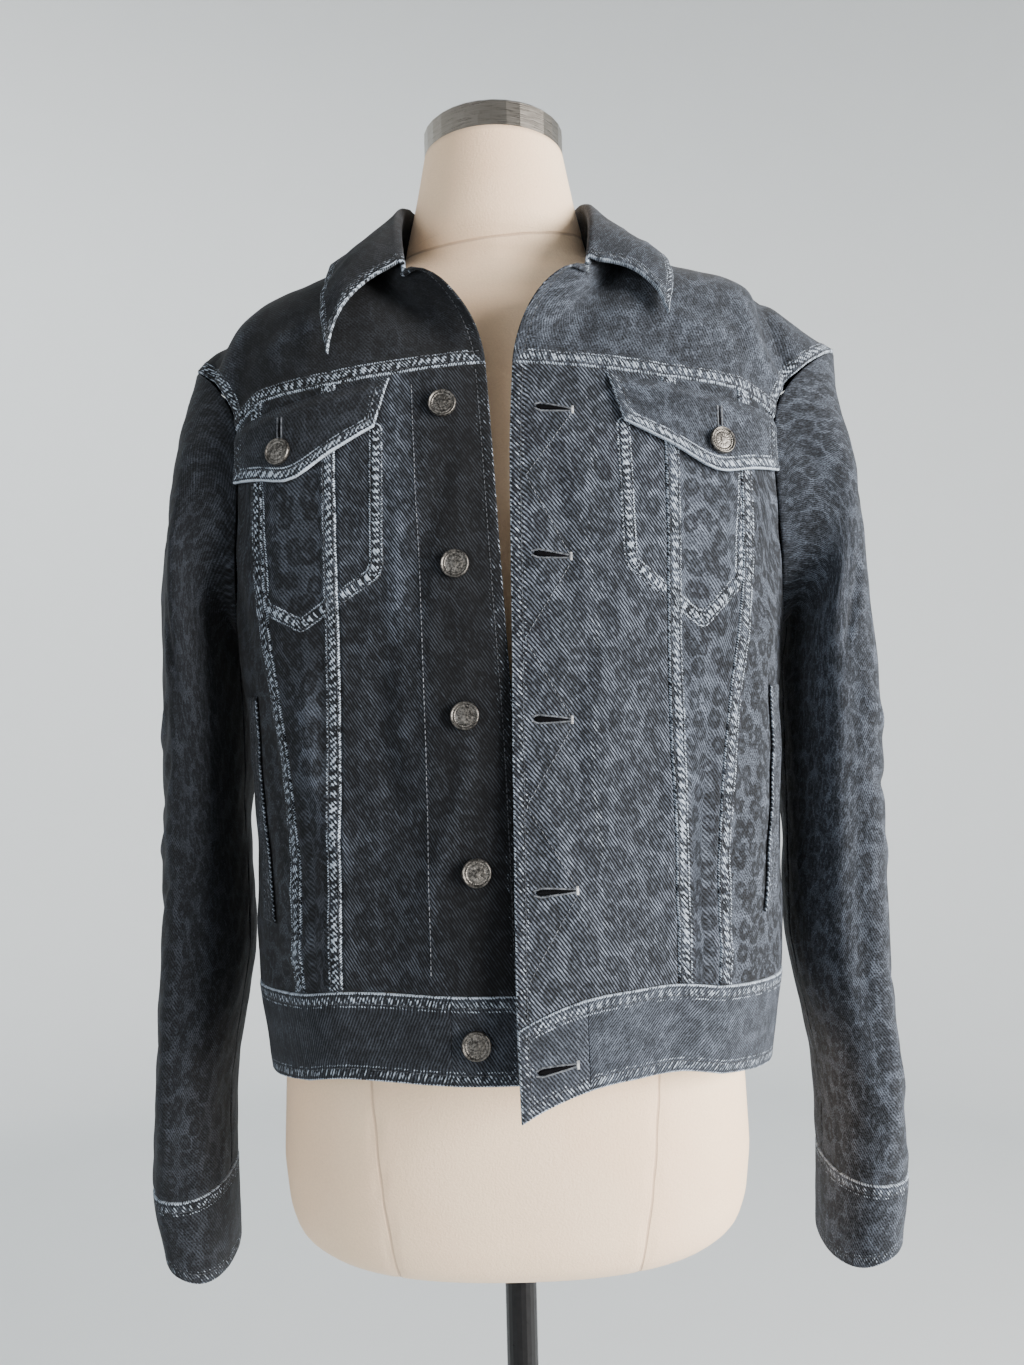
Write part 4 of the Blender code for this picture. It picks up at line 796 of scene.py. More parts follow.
def sewEdge(values, grid, edge, kind, strength, number, start):
    # The relief of one edge's seam, with its wear and rope laid into the piece's values.
    look, distance = seamLook, grid[edge]
    run = grid["sV"] if edge in ("lowU", "highU") else grid["sU"]
    if kind == "plain":
        return edgeRounding(distance, look["plainRounding"] * strength, look["plainReach"])
    if kind == "felled":
        lift = felledSeam(distance, run, start)
        worn = look["felledWear"] * strength * bandMask(distance, 0.0002, 0.0085, look["maskSoft"])
        rope = strength * look["felledRope"]
    else:
        lift = openEdge(distance, run, start)
        worn = look["edgeWear"] * strength * bell(distance, look["edgeReach"])
        band = look["edgeBand"] * strength * bandMask(distance, 0.0, 0.0064, look["maskSoft"])
        worn = np.maximum(worn, band)
        rope = strength
    values["wear"] = np.maximum(values["wear"], worn)
    layRope(values, distance, run + 0.37 * number, rope)
    return edgeRounding(distance) + lift


def sewOutline(values, outline, points, strength):
    # The raised strip over a pocket bag's edge.
    look = seamLook
    off, run = outlineDistance(outline, np.abs(points[..., 0]), points[..., 2])
    sway = 1 + 0.30 * np.sin(run * 330) + 0.22 * np.sin(run * 540 + 1)
    layRope(values, off + look["outlineFrom"], run, strength)
    strip = look["outlineHeight"] * sway * np.exp(-((off / look["outlineReach"]) ** 4))
    return strip - look["groove"] * bell(off - look["outlineGroove"], look["edgeReach"])


def creaseRelief(table, side, a, b):
    # Soft troughs and ridges, each between two ends, tapering towards them.
    moved = np.zeros(a.shape)
    for crease in table:
        if crease.side != side:
            continue
        run = np.array([crease.a1 - crease.a0, crease.b1 - crease.b0])
        length = np.linalg.norm(run)
        run = run / length
        da, db = a - crease.a0, b - crease.b0
        t = (da * run[0] + db * run[1]) / length
        bow = 0.10 * length * math.sin(crease.a0 * 431 + crease.b1 * 97)
        off = -da * run[1] + db * run[0] - bow * 4 * t * (1 - t)
        inside = np.clip(t, -0.4, 1.4)
        taper = np.exp(-(((inside - 0.5) / 0.46) ** 4))
        d = off / crease.wide
        moved += crease.depth * (1 - 0.55 * d * d) * np.exp(-d * d) * taper
    return moved


def unevenness(a, b, start, height=0.00035):
    # Gentle waviness of washed cloth.
    moved = np.zeros(a.shape)
    for k in range(7):
        turn = start * 1.7 + k * 2.39996
        wave = 2 * math.pi / (0.019 + 0.0085 * k)
        moved += np.sin((a * math.cos(turn) + b * math.sin(turn)) * wave + start * 3.1 + k * 1.9)
    return moved * height / 2.6


def rimOf(rows, columns):
    rim = [(0, c) for c in range(columns)]
    rim += [(r, columns - 1) for r in range(1, rows)]
    rim += [(rows - 1, c) for c in range(columns - 2, -1, -1)]
    rim += [(r, 0) for r in range(rows - 2, 0, -1)]
    return rim


def strided(count, stride):
    kept = list(range(0, count - 1, stride))
    if count - 1 - kept[-1] < 2 and len(kept) > 1:
        kept.pop()
    return kept + [count - 1]


def makeMesh(name, points, faces, material, attributes=None, uv=None):
    # A joined mesh of points and faces, with named values for each point and a cloth map.
    mesh = bpy.data.meshes.new(name)
    mesh.from_pydata([], [], [])
    sizes = np.array([len(f) for f in faces], dtype=np.int32)
    loops = np.concatenate([np.asarray(f, dtype=np.int32) for f in faces]) if len(faces) else np.zeros(0, int)
    mesh.vertices.add(len(points))
    mesh.vertices.foreach_set("co", np.ascontiguousarray(points, dtype=np.float32).reshape(-1))
    mesh.loops.add(len(loops))
    mesh.loops.foreach_set("vertex_index", loops)
    mesh.polygons.add(len(sizes))
    starts = np.concatenate([[0], np.cumsum(sizes)[:-1]]).astype(np.int32)
    mesh.polygons.foreach_set("loop_start", starts)
    mesh.polygons.foreach_set("use_smooth", np.ones(len(sizes), dtype=bool))
    mesh.update(calc_edges=True)
    mesh.validate()
    if uv is not None:
        layer = mesh.uv_layers.new(name="cloth")
        layer.data.foreach_set("uv", np.ascontiguousarray(uv[loops], dtype=np.float32).reshape(-1))
    for key, values in (attributes or {}).items():
        layer = mesh.attributes.new(key, "FLOAT", "POINT")
        layer.data.foreach_set("value", np.ascontiguousarray(values, dtype=np.float32))
    mesh.materials.append(material)
    made = bpy.data.objects.new(name, mesh)
    bpy.context.scene.collection.objects.link(made)
    return made


def quadFaces(index):
    a, b, c, d = index[:-1, :-1], index[:-1, 1:], index[1:, 1:], index[1:, :-1]
    return np.stack([a, b, c, d], axis=-1).reshape(-1, 4)


def shellMesh(name, outer, inner, material, uv, attributes, flip):
    # A closed wall: a fine outer face, a coarser inner one, and a rim that joins them.
    rows, columns = outer.shape[:2]
    index = np.arange(rows * columns).reshape(rows, columns)
    keptRows, keptColumns = (strided(count, clothLook["innerStride"]) for count in (rows, columns))
    kept = np.ix_(keptRows, keptColumns)
    coarse = inner[kept]
    below = np.arange(coarse.shape[0] * coarse.shape[1]).reshape(coarse.shape[:2]) + rows * columns
    faces = list(quadFaces(index)) + list(quadFaces(below)[:, ::-1])
    rim = rimOf(rows, columns)
    place = {(r, c): below[i, j] for i, r in enumerate(keptRows) for j, c in enumerate(keptColumns)}
    corners = [k for k, where in enumerate(rim) if where in place]
    count = len(rim)
    for here, there in zip(corners, corners[1:] + [corners[0] + count]):
        edge = [index[rim[k % count]] for k in range(here, there + 1)]
        faces.append(np.array(edge[::-1] + [place[rim[here]], place[rim[there % count]]]))
    if flip:
        faces = [f[::-1] for f in faces]
    points = np.concatenate([outer.reshape(-1, 3), coarse.reshape(-1, 3)])
    maps = np.concatenate([uv.reshape(-1, 2), uv[kept].reshape(-1, 2)])
    values = {k: np.concatenate([w.reshape(-1), w[kept].reshape(-1)]) for k, w in attributes.items()}
    return makeMesh(name, points, faces, material, values, maps)


def alongLine(points):
    return np.concatenate([[0], np.cumsum(np.linalg.norm(np.diff(points, axis=0), axis=1))])


def readLine(along, table, distance):
    return np.stack([np.interp(distance, along, table[:, k]) for k in range(3)], axis=-1)


stitchLook = {"pitch": 0.0034, "length": 0.0027, "width": 0.00062, "height": 0.00034, "lift": 0.00002}


def strand(points, normals):
    # Places of stitches along a line of points: middles, both ends and normals.
    pitch, length = stitchLook["pitch"], stitchLook["length"]
    along = alongLine(points)
    count = int((along[-1] - 2 * pitch * 0.4) / pitch)
    if count < 1:
        return np.zeros((0, 4, 3))
    centres = (np.arange(count) + 0.5) * pitch + (along[-1] - count * pitch) / 2
    places = [readLine(along, points, centres + shift * length) for shift in (0.0, -0.5, 0.5)]
    return np.stack(places + [unit(readLine(along, normals, centres))], axis=1)


def stitchMesh(name, places, material):
    # Every stitch is one small arched bar: two sections of four corners, and pointed ends.
    width, height = stitchLook["width"], stitchLook["height"]
    places = np.concatenate([p for p in places if len(p)])
    middle, low, high, facing = (places[:, k] for k in range(4))
    side = np.cross(unit(high - low), facing) * width
    rings, ends = [], []
    for end in (low, high):
        base = middle + (end - middle) * 0.62 + facing * stitchLook["lift"]
        for across, up in ((0.5, 0.0), (0.28, height), (-0.28, height), (-0.5, 0.0)):
            rings.append(base + side * across + facing * up)
        ends.append(end - facing * 0.0001)
    points = np.stack(rings + ends, axis=1)
    base = (np.arange(len(places)) * 10)[:, None]
    corners = [(0, 1, 5, 4), (1, 2, 6, 5), (2, 3, 7, 6), (3, 0, 4, 7)]
    corners += [(1, 0, 8), (2, 1, 8), (3, 2, 8), (0, 3, 8), (4, 5, 9), (5, 6, 9), (6, 7, 9), (7, 4, 9)]
    faces = [face for each in corners for face in base + np.array(each)[None, :]]
    return outwardFaces(makeMesh(name, points.reshape(-1, 3), faces, material))


def outwardFaces(made):
    shape = bmesh.new()
    shape.from_mesh(made.data)
    bmesh.ops.recalc_face_normals(shape, faces=shape.faces)
    shape.to_mesh(made.data)
    shape.free()
    return made


def turnedMesh(name, profile, sides, material, wave=None):
    # A closed turned shape about +Z; wave moves each ring's height with the angle.
    angles = np.arange(sides) * 2 * math.pi / sides
    rings = []
    for k, (radius, height) in enumerate(profile[1:-1]):
        lift = wave(radius, angles) if wave and k < len(profile) - 4 else 0.0
        rings.append(point(radius * np.cos(angles), radius * np.sin(angles), height + lift))
    ends = [np.array([[0, 0, height]]) for radius, height in (profile[0], profile[-1])]
    points = np.concatenate([ends[0]] + rings + [ends[1]])
    faces = []
    for c in range(sides):
        after = (c + 1) % sides
        faces.append((0, 1 + c, 1 + after))
        for r in range(len(rings) - 1):
            low, high = 1 + r * sides, 1 + (r + 1) * sides
            faces.append((low + c, high + c, high + after, low + after))
        last = 1 + (len(rings) - 1) * sides
        faces.append((last + c, len(points) - 1, last + after))
    return outwardFaces(makeMesh(name, points, faces, material))


class Builder:
    # Adds nodes to a tree and joins them: values are sockets or plain numbers.
    def __init__(self, tree):
        self.tree = tree

    def node(self, kind, **settings):
        made = self.tree.nodes.new(kind)
        for key, value in settings.items():
            setattr(made, key, value)
        return made

    def join(self, value, socket):
        if isinstance(value, bpy.types.NodeSocket):
            self.tree.links.new(value, socket)
        else:
            socket.default_value = value

    def math(self, operation, a, b=None, c=None, clamp=False):
        made = self.node("ShaderNodeMath", operation=operation, use_clamp=clamp)
        for k, value in enumerate((a, b, c)):
            if value is not None:
                self.join(value, made.inputs[k])
        return made.outputs[0]

    def times(self, a, b, clamp=False):
        return self.math("MULTIPLY", a, b, clamp=clamp)

    def plus(self, a, b, clamp=False):
        return self.math("ADD", a, b, clamp=clamp)

    def minus(self, a, b, clamp=False):
        return self.math("SUBTRACT", a, b, clamp=clamp)

    def timesPlus(self, a, b, c, clamp=False):
        return self.math("MULTIPLY_ADD", a, b, c, clamp)

    def vector(self, operation, a, b=None):
        made = self.node("ShaderNodeVectorMath", operation=operation)
        self.join(a, made.inputs[0])
        if b is not None:
            self.join(b, made.inputs[3] if operation == "SCALE" else made.inputs[1])
        return made.outputs[1] if operation in ("LENGTH", "DOT_PRODUCT") else made.outputs[0]

    def noise(self, place, scale, detail=2.0, rough=0.5):
        made = self.node("ShaderNodeTexNoise")
        self.join(place, made.inputs["Vector"])
        made.inputs["Scale"].default_value = scale
        made.inputs["Detail"].default_value = detail
        made.inputs["Roughness"].default_value = rough
        return made.outputs[0]

    def ramp(self, value, low, high, to0=0.0, to1=1.0):
        made = self.node("ShaderNodeMapRange", interpolation_type="SMOOTHSTEP")
        for k, each in enumerate((value, low, high, to0, to1)):
            self.join(each, made.inputs[k])
        return made.outputs[0]

    def mix(self, share, a, b, kind="RGBA", first=6, last=2):
        made = self.node("ShaderNodeMix", data_type=kind)
        for socket, value in ((0, share), (first, a), (first + 1, b)):
            self.join(value, made.inputs[socket])
        return made.outputs[last]

    def lerp(self, share, a, b):
        return self.mix(share, a, b, "FLOAT", 2, 0)

    def bump(self, height, strength, distance, under=None):
        made = self.node("ShaderNodeBump")
        self.join(height, made.inputs["Height"])
        made.inputs["Strength"].default_value = strength
        made.inputs["Distance"].default_value = distance
        if under is not None:
            self.join(under, made.inputs["Normal"])
        return made.outputs[0]

    def place(self):
        return self.node("ShaderNodeTexCoord").outputs["Object"]

    def pair(self, x, y):
        made = self.node("ShaderNodeCombineXYZ")
        self.join(x, made.inputs[0])
        self.join(y, made.inputs[1])
        return made.outputs[0]


def nodeGroup(name, inputs, outputs):
    # A group of nodes; an input without a number is a place.
    tree = bpy.data.node_groups.new(name, "ShaderNodeTree")
    for label, value in inputs.items():
        kind = "NodeSocketVector" if value is None else "NodeSocketFloat"
        socket = tree.interface.new_socket(label, in_out="INPUT", socket_type=kind)
        if value is not None:
            socket.default_value = value
    for label in outputs:
        tree.interface.new_socket(label, in_out="OUTPUT", socket_type="NodeSocketFloat")
    builder = Builder(tree)
    return tree, builder, builder.node("NodeGroupInput").outputs, builder.node("NodeGroupOutput").inputs


def useGroup(builder, tree, **values):
    made = builder.node("ShaderNodeGroup")
    made.node_tree = tree
    for key, value in values.items():
        builder.join(value, made.inputs[key])
    return made.outputs


weaveLook = {
    "across": (0.839, 0.545, 0.0), "along": (0.545, -0.839, 0.0),
    "wobble": 0.0007, "wobbleScale": 260.0, "line": (-0.35, 0.75),
    "slubAcross": 700.0, "slubAlong": 150.0, "slub": (0.36, 0.66),
}


def makeTwillWeave():
    # Steep twill lines with uneven threads: Lines is 1 on the light threads.
    look = weaveLook
    inputs = {"Cloth": None, "Pitch": 0.0015, "Slubs": 0.6}
    tree, b, got, out = nodeGroup("twillWeave", inputs, ("Lines", "Height"))
    across = b.vector("DOT_PRODUCT", got["Cloth"], look["across"])
    along = b.vector("DOT_PRODUCT", got["Cloth"], look["along"])
    wobble = b.times(b.noise(got["Cloth"], look["wobbleScale"], 1.0), look["wobble"])
    phase = b.math("DIVIDE", b.plus(across, wobble), got["Pitch"])
    lines = b.ramp(b.math("SINE", b.times(phase, 2 * math.pi)), *look["line"])
    stretched = b.pair(b.times(across, look["slubAcross"]), b.times(along, look["slubAlong"]))
    broken = b.ramp(b.noise(stretched, 1.0, 2.0, 0.6), *look["slub"])
    b.join(b.times(lines, b.lerp(got["Slubs"], 1.0, broken)), out["Lines"])
    b.join(lines, out["Height"])
    return tree


printLook = {
    "stretch": (1.0, 0.78, 1.0), "warpScale": 1.9, "uneven": 0.82,
    "outer": (0.40, 0.53), "inner": (0.05, 0.20), "heart": 0.50, "gapScale": 2.6, "gap": (0.30, 0.46),
}


def makeLeopardPrint():
    # Broken rings round soft centres, a spot to each cell of an uneven lattice.
    look = printLook
    inputs = {"Cloth": None, "Size": 0.019, "Wander": 0.25}
    tree, b, got, out = nodeGroup("leopardPrint", inputs, ("Rings", "Centres"))
    scale = b.math("DIVIDE", 1.0, got["Size"])
    place = b.vector("MULTIPLY", b.vector("SCALE", got["Cloth"], scale), look["stretch"])
    warp = b.node("ShaderNodeTexNoise")
    b.join(place, warp.inputs["Vector"])
    warp.inputs["Scale"].default_value = look["warpScale"]
    warp.inputs["Detail"].default_value = 3.0
    offset = b.vector("SUBTRACT", warp.outputs[1], (0.5, 0.5, 0.5))
    bent = b.vector("ADD", place, b.vector("SCALE", offset, got["Wander"]))
    cells = b.node("ShaderNodeTexVoronoi", voronoi_dimensions="2D")
    b.join(bent, cells.inputs["Vector"])
    cells.inputs["Scale"].default_value = 1.0
    cells.inputs["Randomness"].default_value = look["uneven"]
    reach = cells.outputs["Distance"]
    outer = b.ramp(reach, *look["outer"], 1.0, 0.0)
    inner = b.ramp(reach, *look["inner"], look["heart"], 1.0)
    gaps = b.ramp(b.noise(bent, look["gapScale"], 2.0), *look["gap"])
    b.join(b.times(b.times(outer, inner), gaps), out["Rings"])
    b.join(b.minus(1.0, inner, clamp=True), out["Centres"])
    return tree


ropeLook = {
    "driftScale": 75.0, "drift": 16.0, "slant": 0.5, "softScale": 330.0, "soft": 5.0,
    "tearScale": 900.0, "tear": 1.6, "waveShare": 0.50, "tornShare": 0.55, "blotch": (-1.15, 1.05),
    "core": 0.45, "rim": 1.10, "dashSlant": 0.8, "dashPitch": 0.00150, "dash": (-0.8, 0.8), "dashLow": 0.42,
    "thinScale": 190.0, "thin": (0.34, 0.60), "thinLow": 0.30,
    "edge": (0.0008, 0.0016), "second": 0.0084, "secondEdge": (0.0002, 0.0009), "secondShare": 0.80,
}


def makeSeamRope():
    # Uneven light blotches in the middle of a stitched strip and a thin ticked line on its folded edge.
    look = ropeLook
    inputs = {"Along": 0.0, "Across": 1.0, "Pitch": 0.0046, "Middle": 0.0048, "Reach": 0.0031}
    tree, b, got, out = nodeGroup("seamRope", inputs, ("Blotches", "Dashes"))
    place = b.pair(got["Along"], got["Across"])
    drift = b.times(b.noise(place, look["driftScale"], 2.0), look["drift"])
    run = b.math("DIVIDE", b.timesPlus(got["Across"], look["slant"], got["Along"]), got["Pitch"])
    wave = b.math("SINE", b.timesPlus(run, 2 * math.pi, drift))
    soft = b.timesPlus(b.noise(place, look["softScale"], 2.0, 0.55), look["soft"], -look["soft"] / 2)
    tear = b.timesPlus(b.noise(place, look["tearScale"], 2.0, 0.6), look["tear"], -look["tear"] / 2)
    mixed = b.plus(b.times(wave, look["waveShare"]), b.times(b.plus(soft, tear), look["tornShare"]))
    blotch = b.ramp(mixed, *look["blotch"])
    away = b.math("ABSOLUTE", b.minus(got["Across"], got["Middle"]))
    reach = b.ramp(away, b.times(got["Reach"], look["core"]), b.times(got["Reach"], look["rim"]), 1.0, 0.0)
    b.join(b.times(blotch, reach), out["Blotches"])
    slant = b.math("DIVIDE", b.timesPlus(got["Across"], look["dashSlant"], got["Along"]), look["dashPitch"])
    dash = b.ramp(b.math("SINE", b.times(slant, 2 * math.pi)), *look["dash"], look["dashLow"], 1.0)
    thin = b.ramp(b.noise(place, look["thinScale"], 3.0, 0.6), *look["thin"], look["thinLow"], 1.0)
    edge = b.ramp(got["Across"], *look["edge"], 1.0, 0.0)
    off = b.math("ABSOLUTE", b.minus(got["Across"], look["second"]))
    rows = b.math("MAXIMUM", edge, b.ramp(off, *look["secondEdge"], look["secondShare"], 0.0))
    b.join(b.times(b.times(dash, rows), thin), out["Dashes"])
    return tree


fadeLook = {
    "speckleScale": 820.0, "speckle": (0.36, 0.66), "grainScale": 620.0, "grainShare": 0.55,
    "patchScale": 95.0, "patchShare": 0.45, "threadFrom": 0.4, "threadShare": 0.42,
    "level": 1.02, "wearShare": 0.85, "soft": 0.20, "mottleScale": 85.0, "mottle": (0.30, 0.72),
}


def makeFadeWear():
    # Broken-up abrasion: the wear value, torn by grain and by the twill's raised threads.
    look = fadeLook
    inputs = {"Cloth": None, "Wear": 0.0, "Lines": 0.5}
    tree, b, got, out = nodeGroup("fadeWear", inputs, ("Mask", "Mottle", "Speckle"))
    b.join(b.ramp(b.noise(got["Cloth"], look["speckleScale"], 2.0, 0.6), *look["speckle"]), out["Speckle"])
    grain = b.noise(got["Cloth"], look["grainScale"], 4.0, 0.65)
    patch = b.noise(got["Cloth"], look["patchScale"], 3.0, 0.6)
    torn = b.plus(b.times(grain, look["grainShare"]), b.times(patch, look["patchShare"]))
    torn = b.plus(torn, b.times(b.minus(got["Lines"], look["threadFrom"]), look["threadShare"]))
    level = b.minus(look["level"], b.times(got["Wear"], look["wearShare"]))
    b.join(b.ramp(torn, b.minus(level, look["soft"]), b.plus(level, look["soft"])), out["Mask"])
    b.join(b.ramp(b.noise(got["Cloth"], look["mottleScale"], 5.0, 0.66), *look["mottle"]), out["Mottle"])
    return tree


def makeGrain():
    # Fine unevenness for knits, felts and painted metal.
    tree, b, got, out = nodeGroup("grain", {"Place": None, "Scale": 900.0}, ("Fine", "Broad"))
    place = b.vector("SCALE", got["Place"], got["Scale"])
    b.join(b.noise(place, 1.0, 3.0, 0.6), out["Fine"])
    b.join(b.noise(place, 0.02, 3.0, 0.5), out["Broad"])
    return tree


twillWeave = makeTwillWeave()
leopardPrint = makeLeopardPrint()
seamRope = makeSeamRope()
fadeWear = makeFadeWear()
grain = makeGrain()


def newMaterial(name, values):
    made = bpy.data.materials.new(name)
    made.use_nodes = True
    shader = made.node_tree.nodes["Principled BSDF"]
    for label, value in values.items():
        shader.inputs[label].default_value = value
    return made, Builder(made.node_tree), shader


denimLook = {
    "shader": {"Roughness": 0.86, "Specular IOR Level": 0.16, "Sheen Weight": 0.06, "Sheen Roughness": 0.55},
    "ground": (0.0022, 0.0024, 0.0030, 1.0),
    "groundPale": (0.0080, 0.0090, 0.0120, 1.0),
    "print": (0.0010, 0.0011, 0.0014, 1.0),
    "threadDark": (0.033, 0.038, 0.047, 1.0),
    "threadPale": (0.395, 0.468, 0.605, 1.0),
    "worn": (0.47, 0.545, 0.645, 1.0),
    "twillPitch": 0.00165,
    "slubs": 0.55,
    "spotSize": 0.0098,
    "spotWander": 0.62,
    "ropeWear": 0.58,
    "dashWear": 0.86,
    "printShare": 0.92,
    "heartShare": 0.10,
    "paleMottle": (0.40, 0.52),
    "coverMottle": (0.26, 0.60),
    "coverPrint": (-0.80, 1.0),
    "speckleShare": 0.60,
    "wornShare": 0.88,
    "bump": (0.5, 0.00026),
    "ropeBump": (0.8, 0.00055),
    "heightShares": (0.4, 0.8),
}


def makeDenim():
    look = denimLook
    made, b, shader = newMaterial("denim_leopard", look["shader"])
    cloth = b.node("ShaderNodeUVMap", uv_map="cloth").outputs[0]
    wear, pale, along, across, roped, printed, twilled = (
        b.node("ShaderNodeAttribute", attribute_name=name).outputs["Fac"]
        for name in ("wear", "pale", "seamAlong", "seamAcross", "roped", "printed", "twilled")
    )
    twill = useGroup(b, twillWeave, Cloth=cloth, Pitch=look["twillPitch"], Slubs=look["slubs"])
    spots = useGroup(b, leopardPrint, Cloth=cloth, Size=look["spotSize"], Wander=look["spotWander"])
    rope = useGroup(b, seamRope, Along=along, Across=across)
    ropeWear = b.times(b.times(rope["Blotches"], roped), look["ropeWear"])
    dashWear = b.times(b.times(rope["Dashes"], roped), look["dashWear"])
    total = b.plus(wear, b.plus(ropeWear, dashWear))
    fade = useGroup(b, fadeWear, Cloth=cloth, Wear=total, Lines=twill["Lines"])
    ring = b.times(b.times(spots["Rings"], printed), look["printShare"])
    # The pale value carries real fading and each side's base paleness, which is painted light on the wearer's
    # left and painted shade on the right.
    worn = b.times(b.timesPlus(fade["Mottle"], *look["paleMottle"]), pale, clamp=True)
    ground = b.mix(ring, b.mix(worn, look["ground"], look["groundPale"]), look["print"])
    thread = b.mix(worn, look["threadDark"], look["threadPale"])
    cover = b.lerp(twilled, b.times(fade["Speckle"], look["speckleShare"]), twill["Lines"])
    cover = b.times(cover, b.timesPlus(fade["Mottle"], *look["coverMottle"]))
    cover = b.times(cover, b.timesPlus(ring, *look["coverPrint"]))
    heart = b.times(b.times(spots["Centres"], printed), look["heartShare"])
    threaded = b.mix(b.plus(cover, heart, clamp=True), ground, thread)
    faded = b.mix(b.times(fade["Mask"], look["wornShare"]), threaded, look["worn"])
    b.join(faded, shader.inputs["Base Color"])
    mottleShare, coverShare = look["heightShares"]
    height = b.timesPlus(fade["Mottle"], mottleShare, b.times(cover, coverShare))
    rope = b.bump(b.times(rope["Blotches"], roped), *look["ropeBump"])
    b.join(b.bump(height, *look["bump"], rope), shader.inputs["Normal"])
    return made


def makeSpun(name, roughness, gloss, dark, light, scale, ends=None):
    # Thread or shadowed cloth: a fine mottle of two colours.
    made, b, shader = newMaterial(name, {"Roughness": roughness, "Specular IOR Level": gloss})
    fine = useGroup(b, grain, Place=b.place(), Scale=scale)["Fine"]
    b.join(b.mix(b.ramp(fine, *ends) if ends else fine, dark, light), shader.inputs["Base Color"])
    return made


jerseyLook = {
    "shader": {"Roughness": 0.80, "Sheen Weight": 0.15, "Specular IOR Level": 0.25},
    "fineScale": 760.0, "broadScale": 300.0, "broad": (0.3, 0.7), "fine": (0.35, 0.65), "fineShare": 0.15,
    "dark": (0.94, 0.650, 0.420, 1), "light": (0.98, 0.750, 0.520, 1), "grain": (0.66, 0.44, 0.30, 1),
    "seam": (0.42, 0.270, 0.190, 1), "seamShare": 0.50, "seamEdge": (0.0003, 0.0013),
    "fineHeight": 0.80, "bump": (0.6, 0.0007),
}


def makeFormCloth():
    # Fine jersey with darker seams where the named distances pass through zero.
    look = jerseyLook
    made, b, shader = newMaterial("form_jersey", look["shader"])
    place = b.place()
    fine = useGroup(b, grain, Place=place, Scale=look["fineScale"])["Fine"]
    broad = useGroup(b, grain, Place=place, Scale=look["broadScale"])["Broad"]
    colour = b.mix(b.ramp(broad, *look["broad"]), look["dark"], look["light"])
    colour = b.mix(b.times(b.ramp(fine, *look["fine"]), look["fineShare"]), colour, look["grain"])
    lines = 0.0
    for name in ("offPrincess", "offSide", "offNeck", "offBack"):
        off = b.math("ABSOLUTE", b.node("ShaderNodeAttribute", attribute_name=name).outputs["Fac"])
        lines = b.math("MAXIMUM", b.ramp(off, *look["seamEdge"], 1.0, 0.0), lines)
    b.join(b.mix(b.times(lines, look["seamShare"]), colour, look["seam"]), shader.inputs["Base Color"])
    height = b.minus(b.times(fine, look["fineHeight"]), lines)
    b.join(b.bump(height, *look["bump"]), shader.inputs["Normal"])
    return made


def makeMetal(name, dark, light, roughness, stretch, metallic=1.0, gloss=0.5):
    # Brushed or worn metal; stretch sets how long its scratches are each way.
    values = {"Roughness": roughness, "Metallic": metallic, "Specular IOR Level": gloss}
    made, b, shader = newMaterial(name, values)
    streak = b.noise(b.vector("MULTIPLY", b.place(), stretch), 1.0, 4.0, 0.6)
    b.join(b.mix(b.ramp(streak, 0.30, 0.72), dark, light), shader.inputs["Base Color"])
    b.join(b.ramp(streak, 0.2, 0.8, roughness * 0.75, roughness * 1.35), shader.inputs["Roughness"])
    return made


threadColours = {
    "denim_thread": ((0.016, 0.017, 0.020, 1), (0.085, 0.092, 0.104, 1)),
    "placket_thread": ((0.040, 0.044, 0.052, 1), (0.20, 0.215, 0.24, 1)),
    "tack_thread": ((0.20, 0.205, 0.215, 1), (0.55, 0.56, 0.57, 1)),
}
# Near-black colours of the buttonhole slits: painted shade inside the openings.
slitShadeColours = ((0.001, 0.001, 0.0015, 1), (0.005, 0.005, 0.006, 1))
pewterColours = ((0.035, 0.033, 0.031, 1), (0.24, 0.225, 0.205, 1))
steelColours = ((0.27, 0.245, 0.215, 1), (0.34, 0.315, 0.280, 1))
paintColours = ((0.003, 0.003, 0.0034, 1), (0.007, 0.007, 0.0078, 1))

denim = makeDenim()
thread, holeThread, tackThread = (
    makeSpun(name, 0.72, 0.3, *colours, 420.0, (0.3, 0.7)) for name, colours in threadColours.items()
)
slitShade = makeSpun("buttonhole_painted_shade", 0.9, 0.05, *slitShadeColours, 900.0)
formCloth = makeFormCloth()
buttonMetal = makeMetal("button_pewter", *pewterColours, 0.42, (700, 700, 700))
steel = makeMetal("brushed_steel", *steelColours, 0.30, (60, 60, 1500))
blackMetal = makeMetal("black_paint", *paintColours, 0.34, (260, 260, 260), 0.0, 0.28)
print("materials made")


dressed = {}
stitches = {"body": [], "sleeves": [], "trim": [], "placket": [], "bars": [], "tacks": []}

wearLook = {"ridge": 0.10, "ridgeHeight": 0.003, "ridgePale": 0.35, "ridgePaleHeight": 0.002}

creaseFields = "side a0 b0 a1 b1 wide depth"
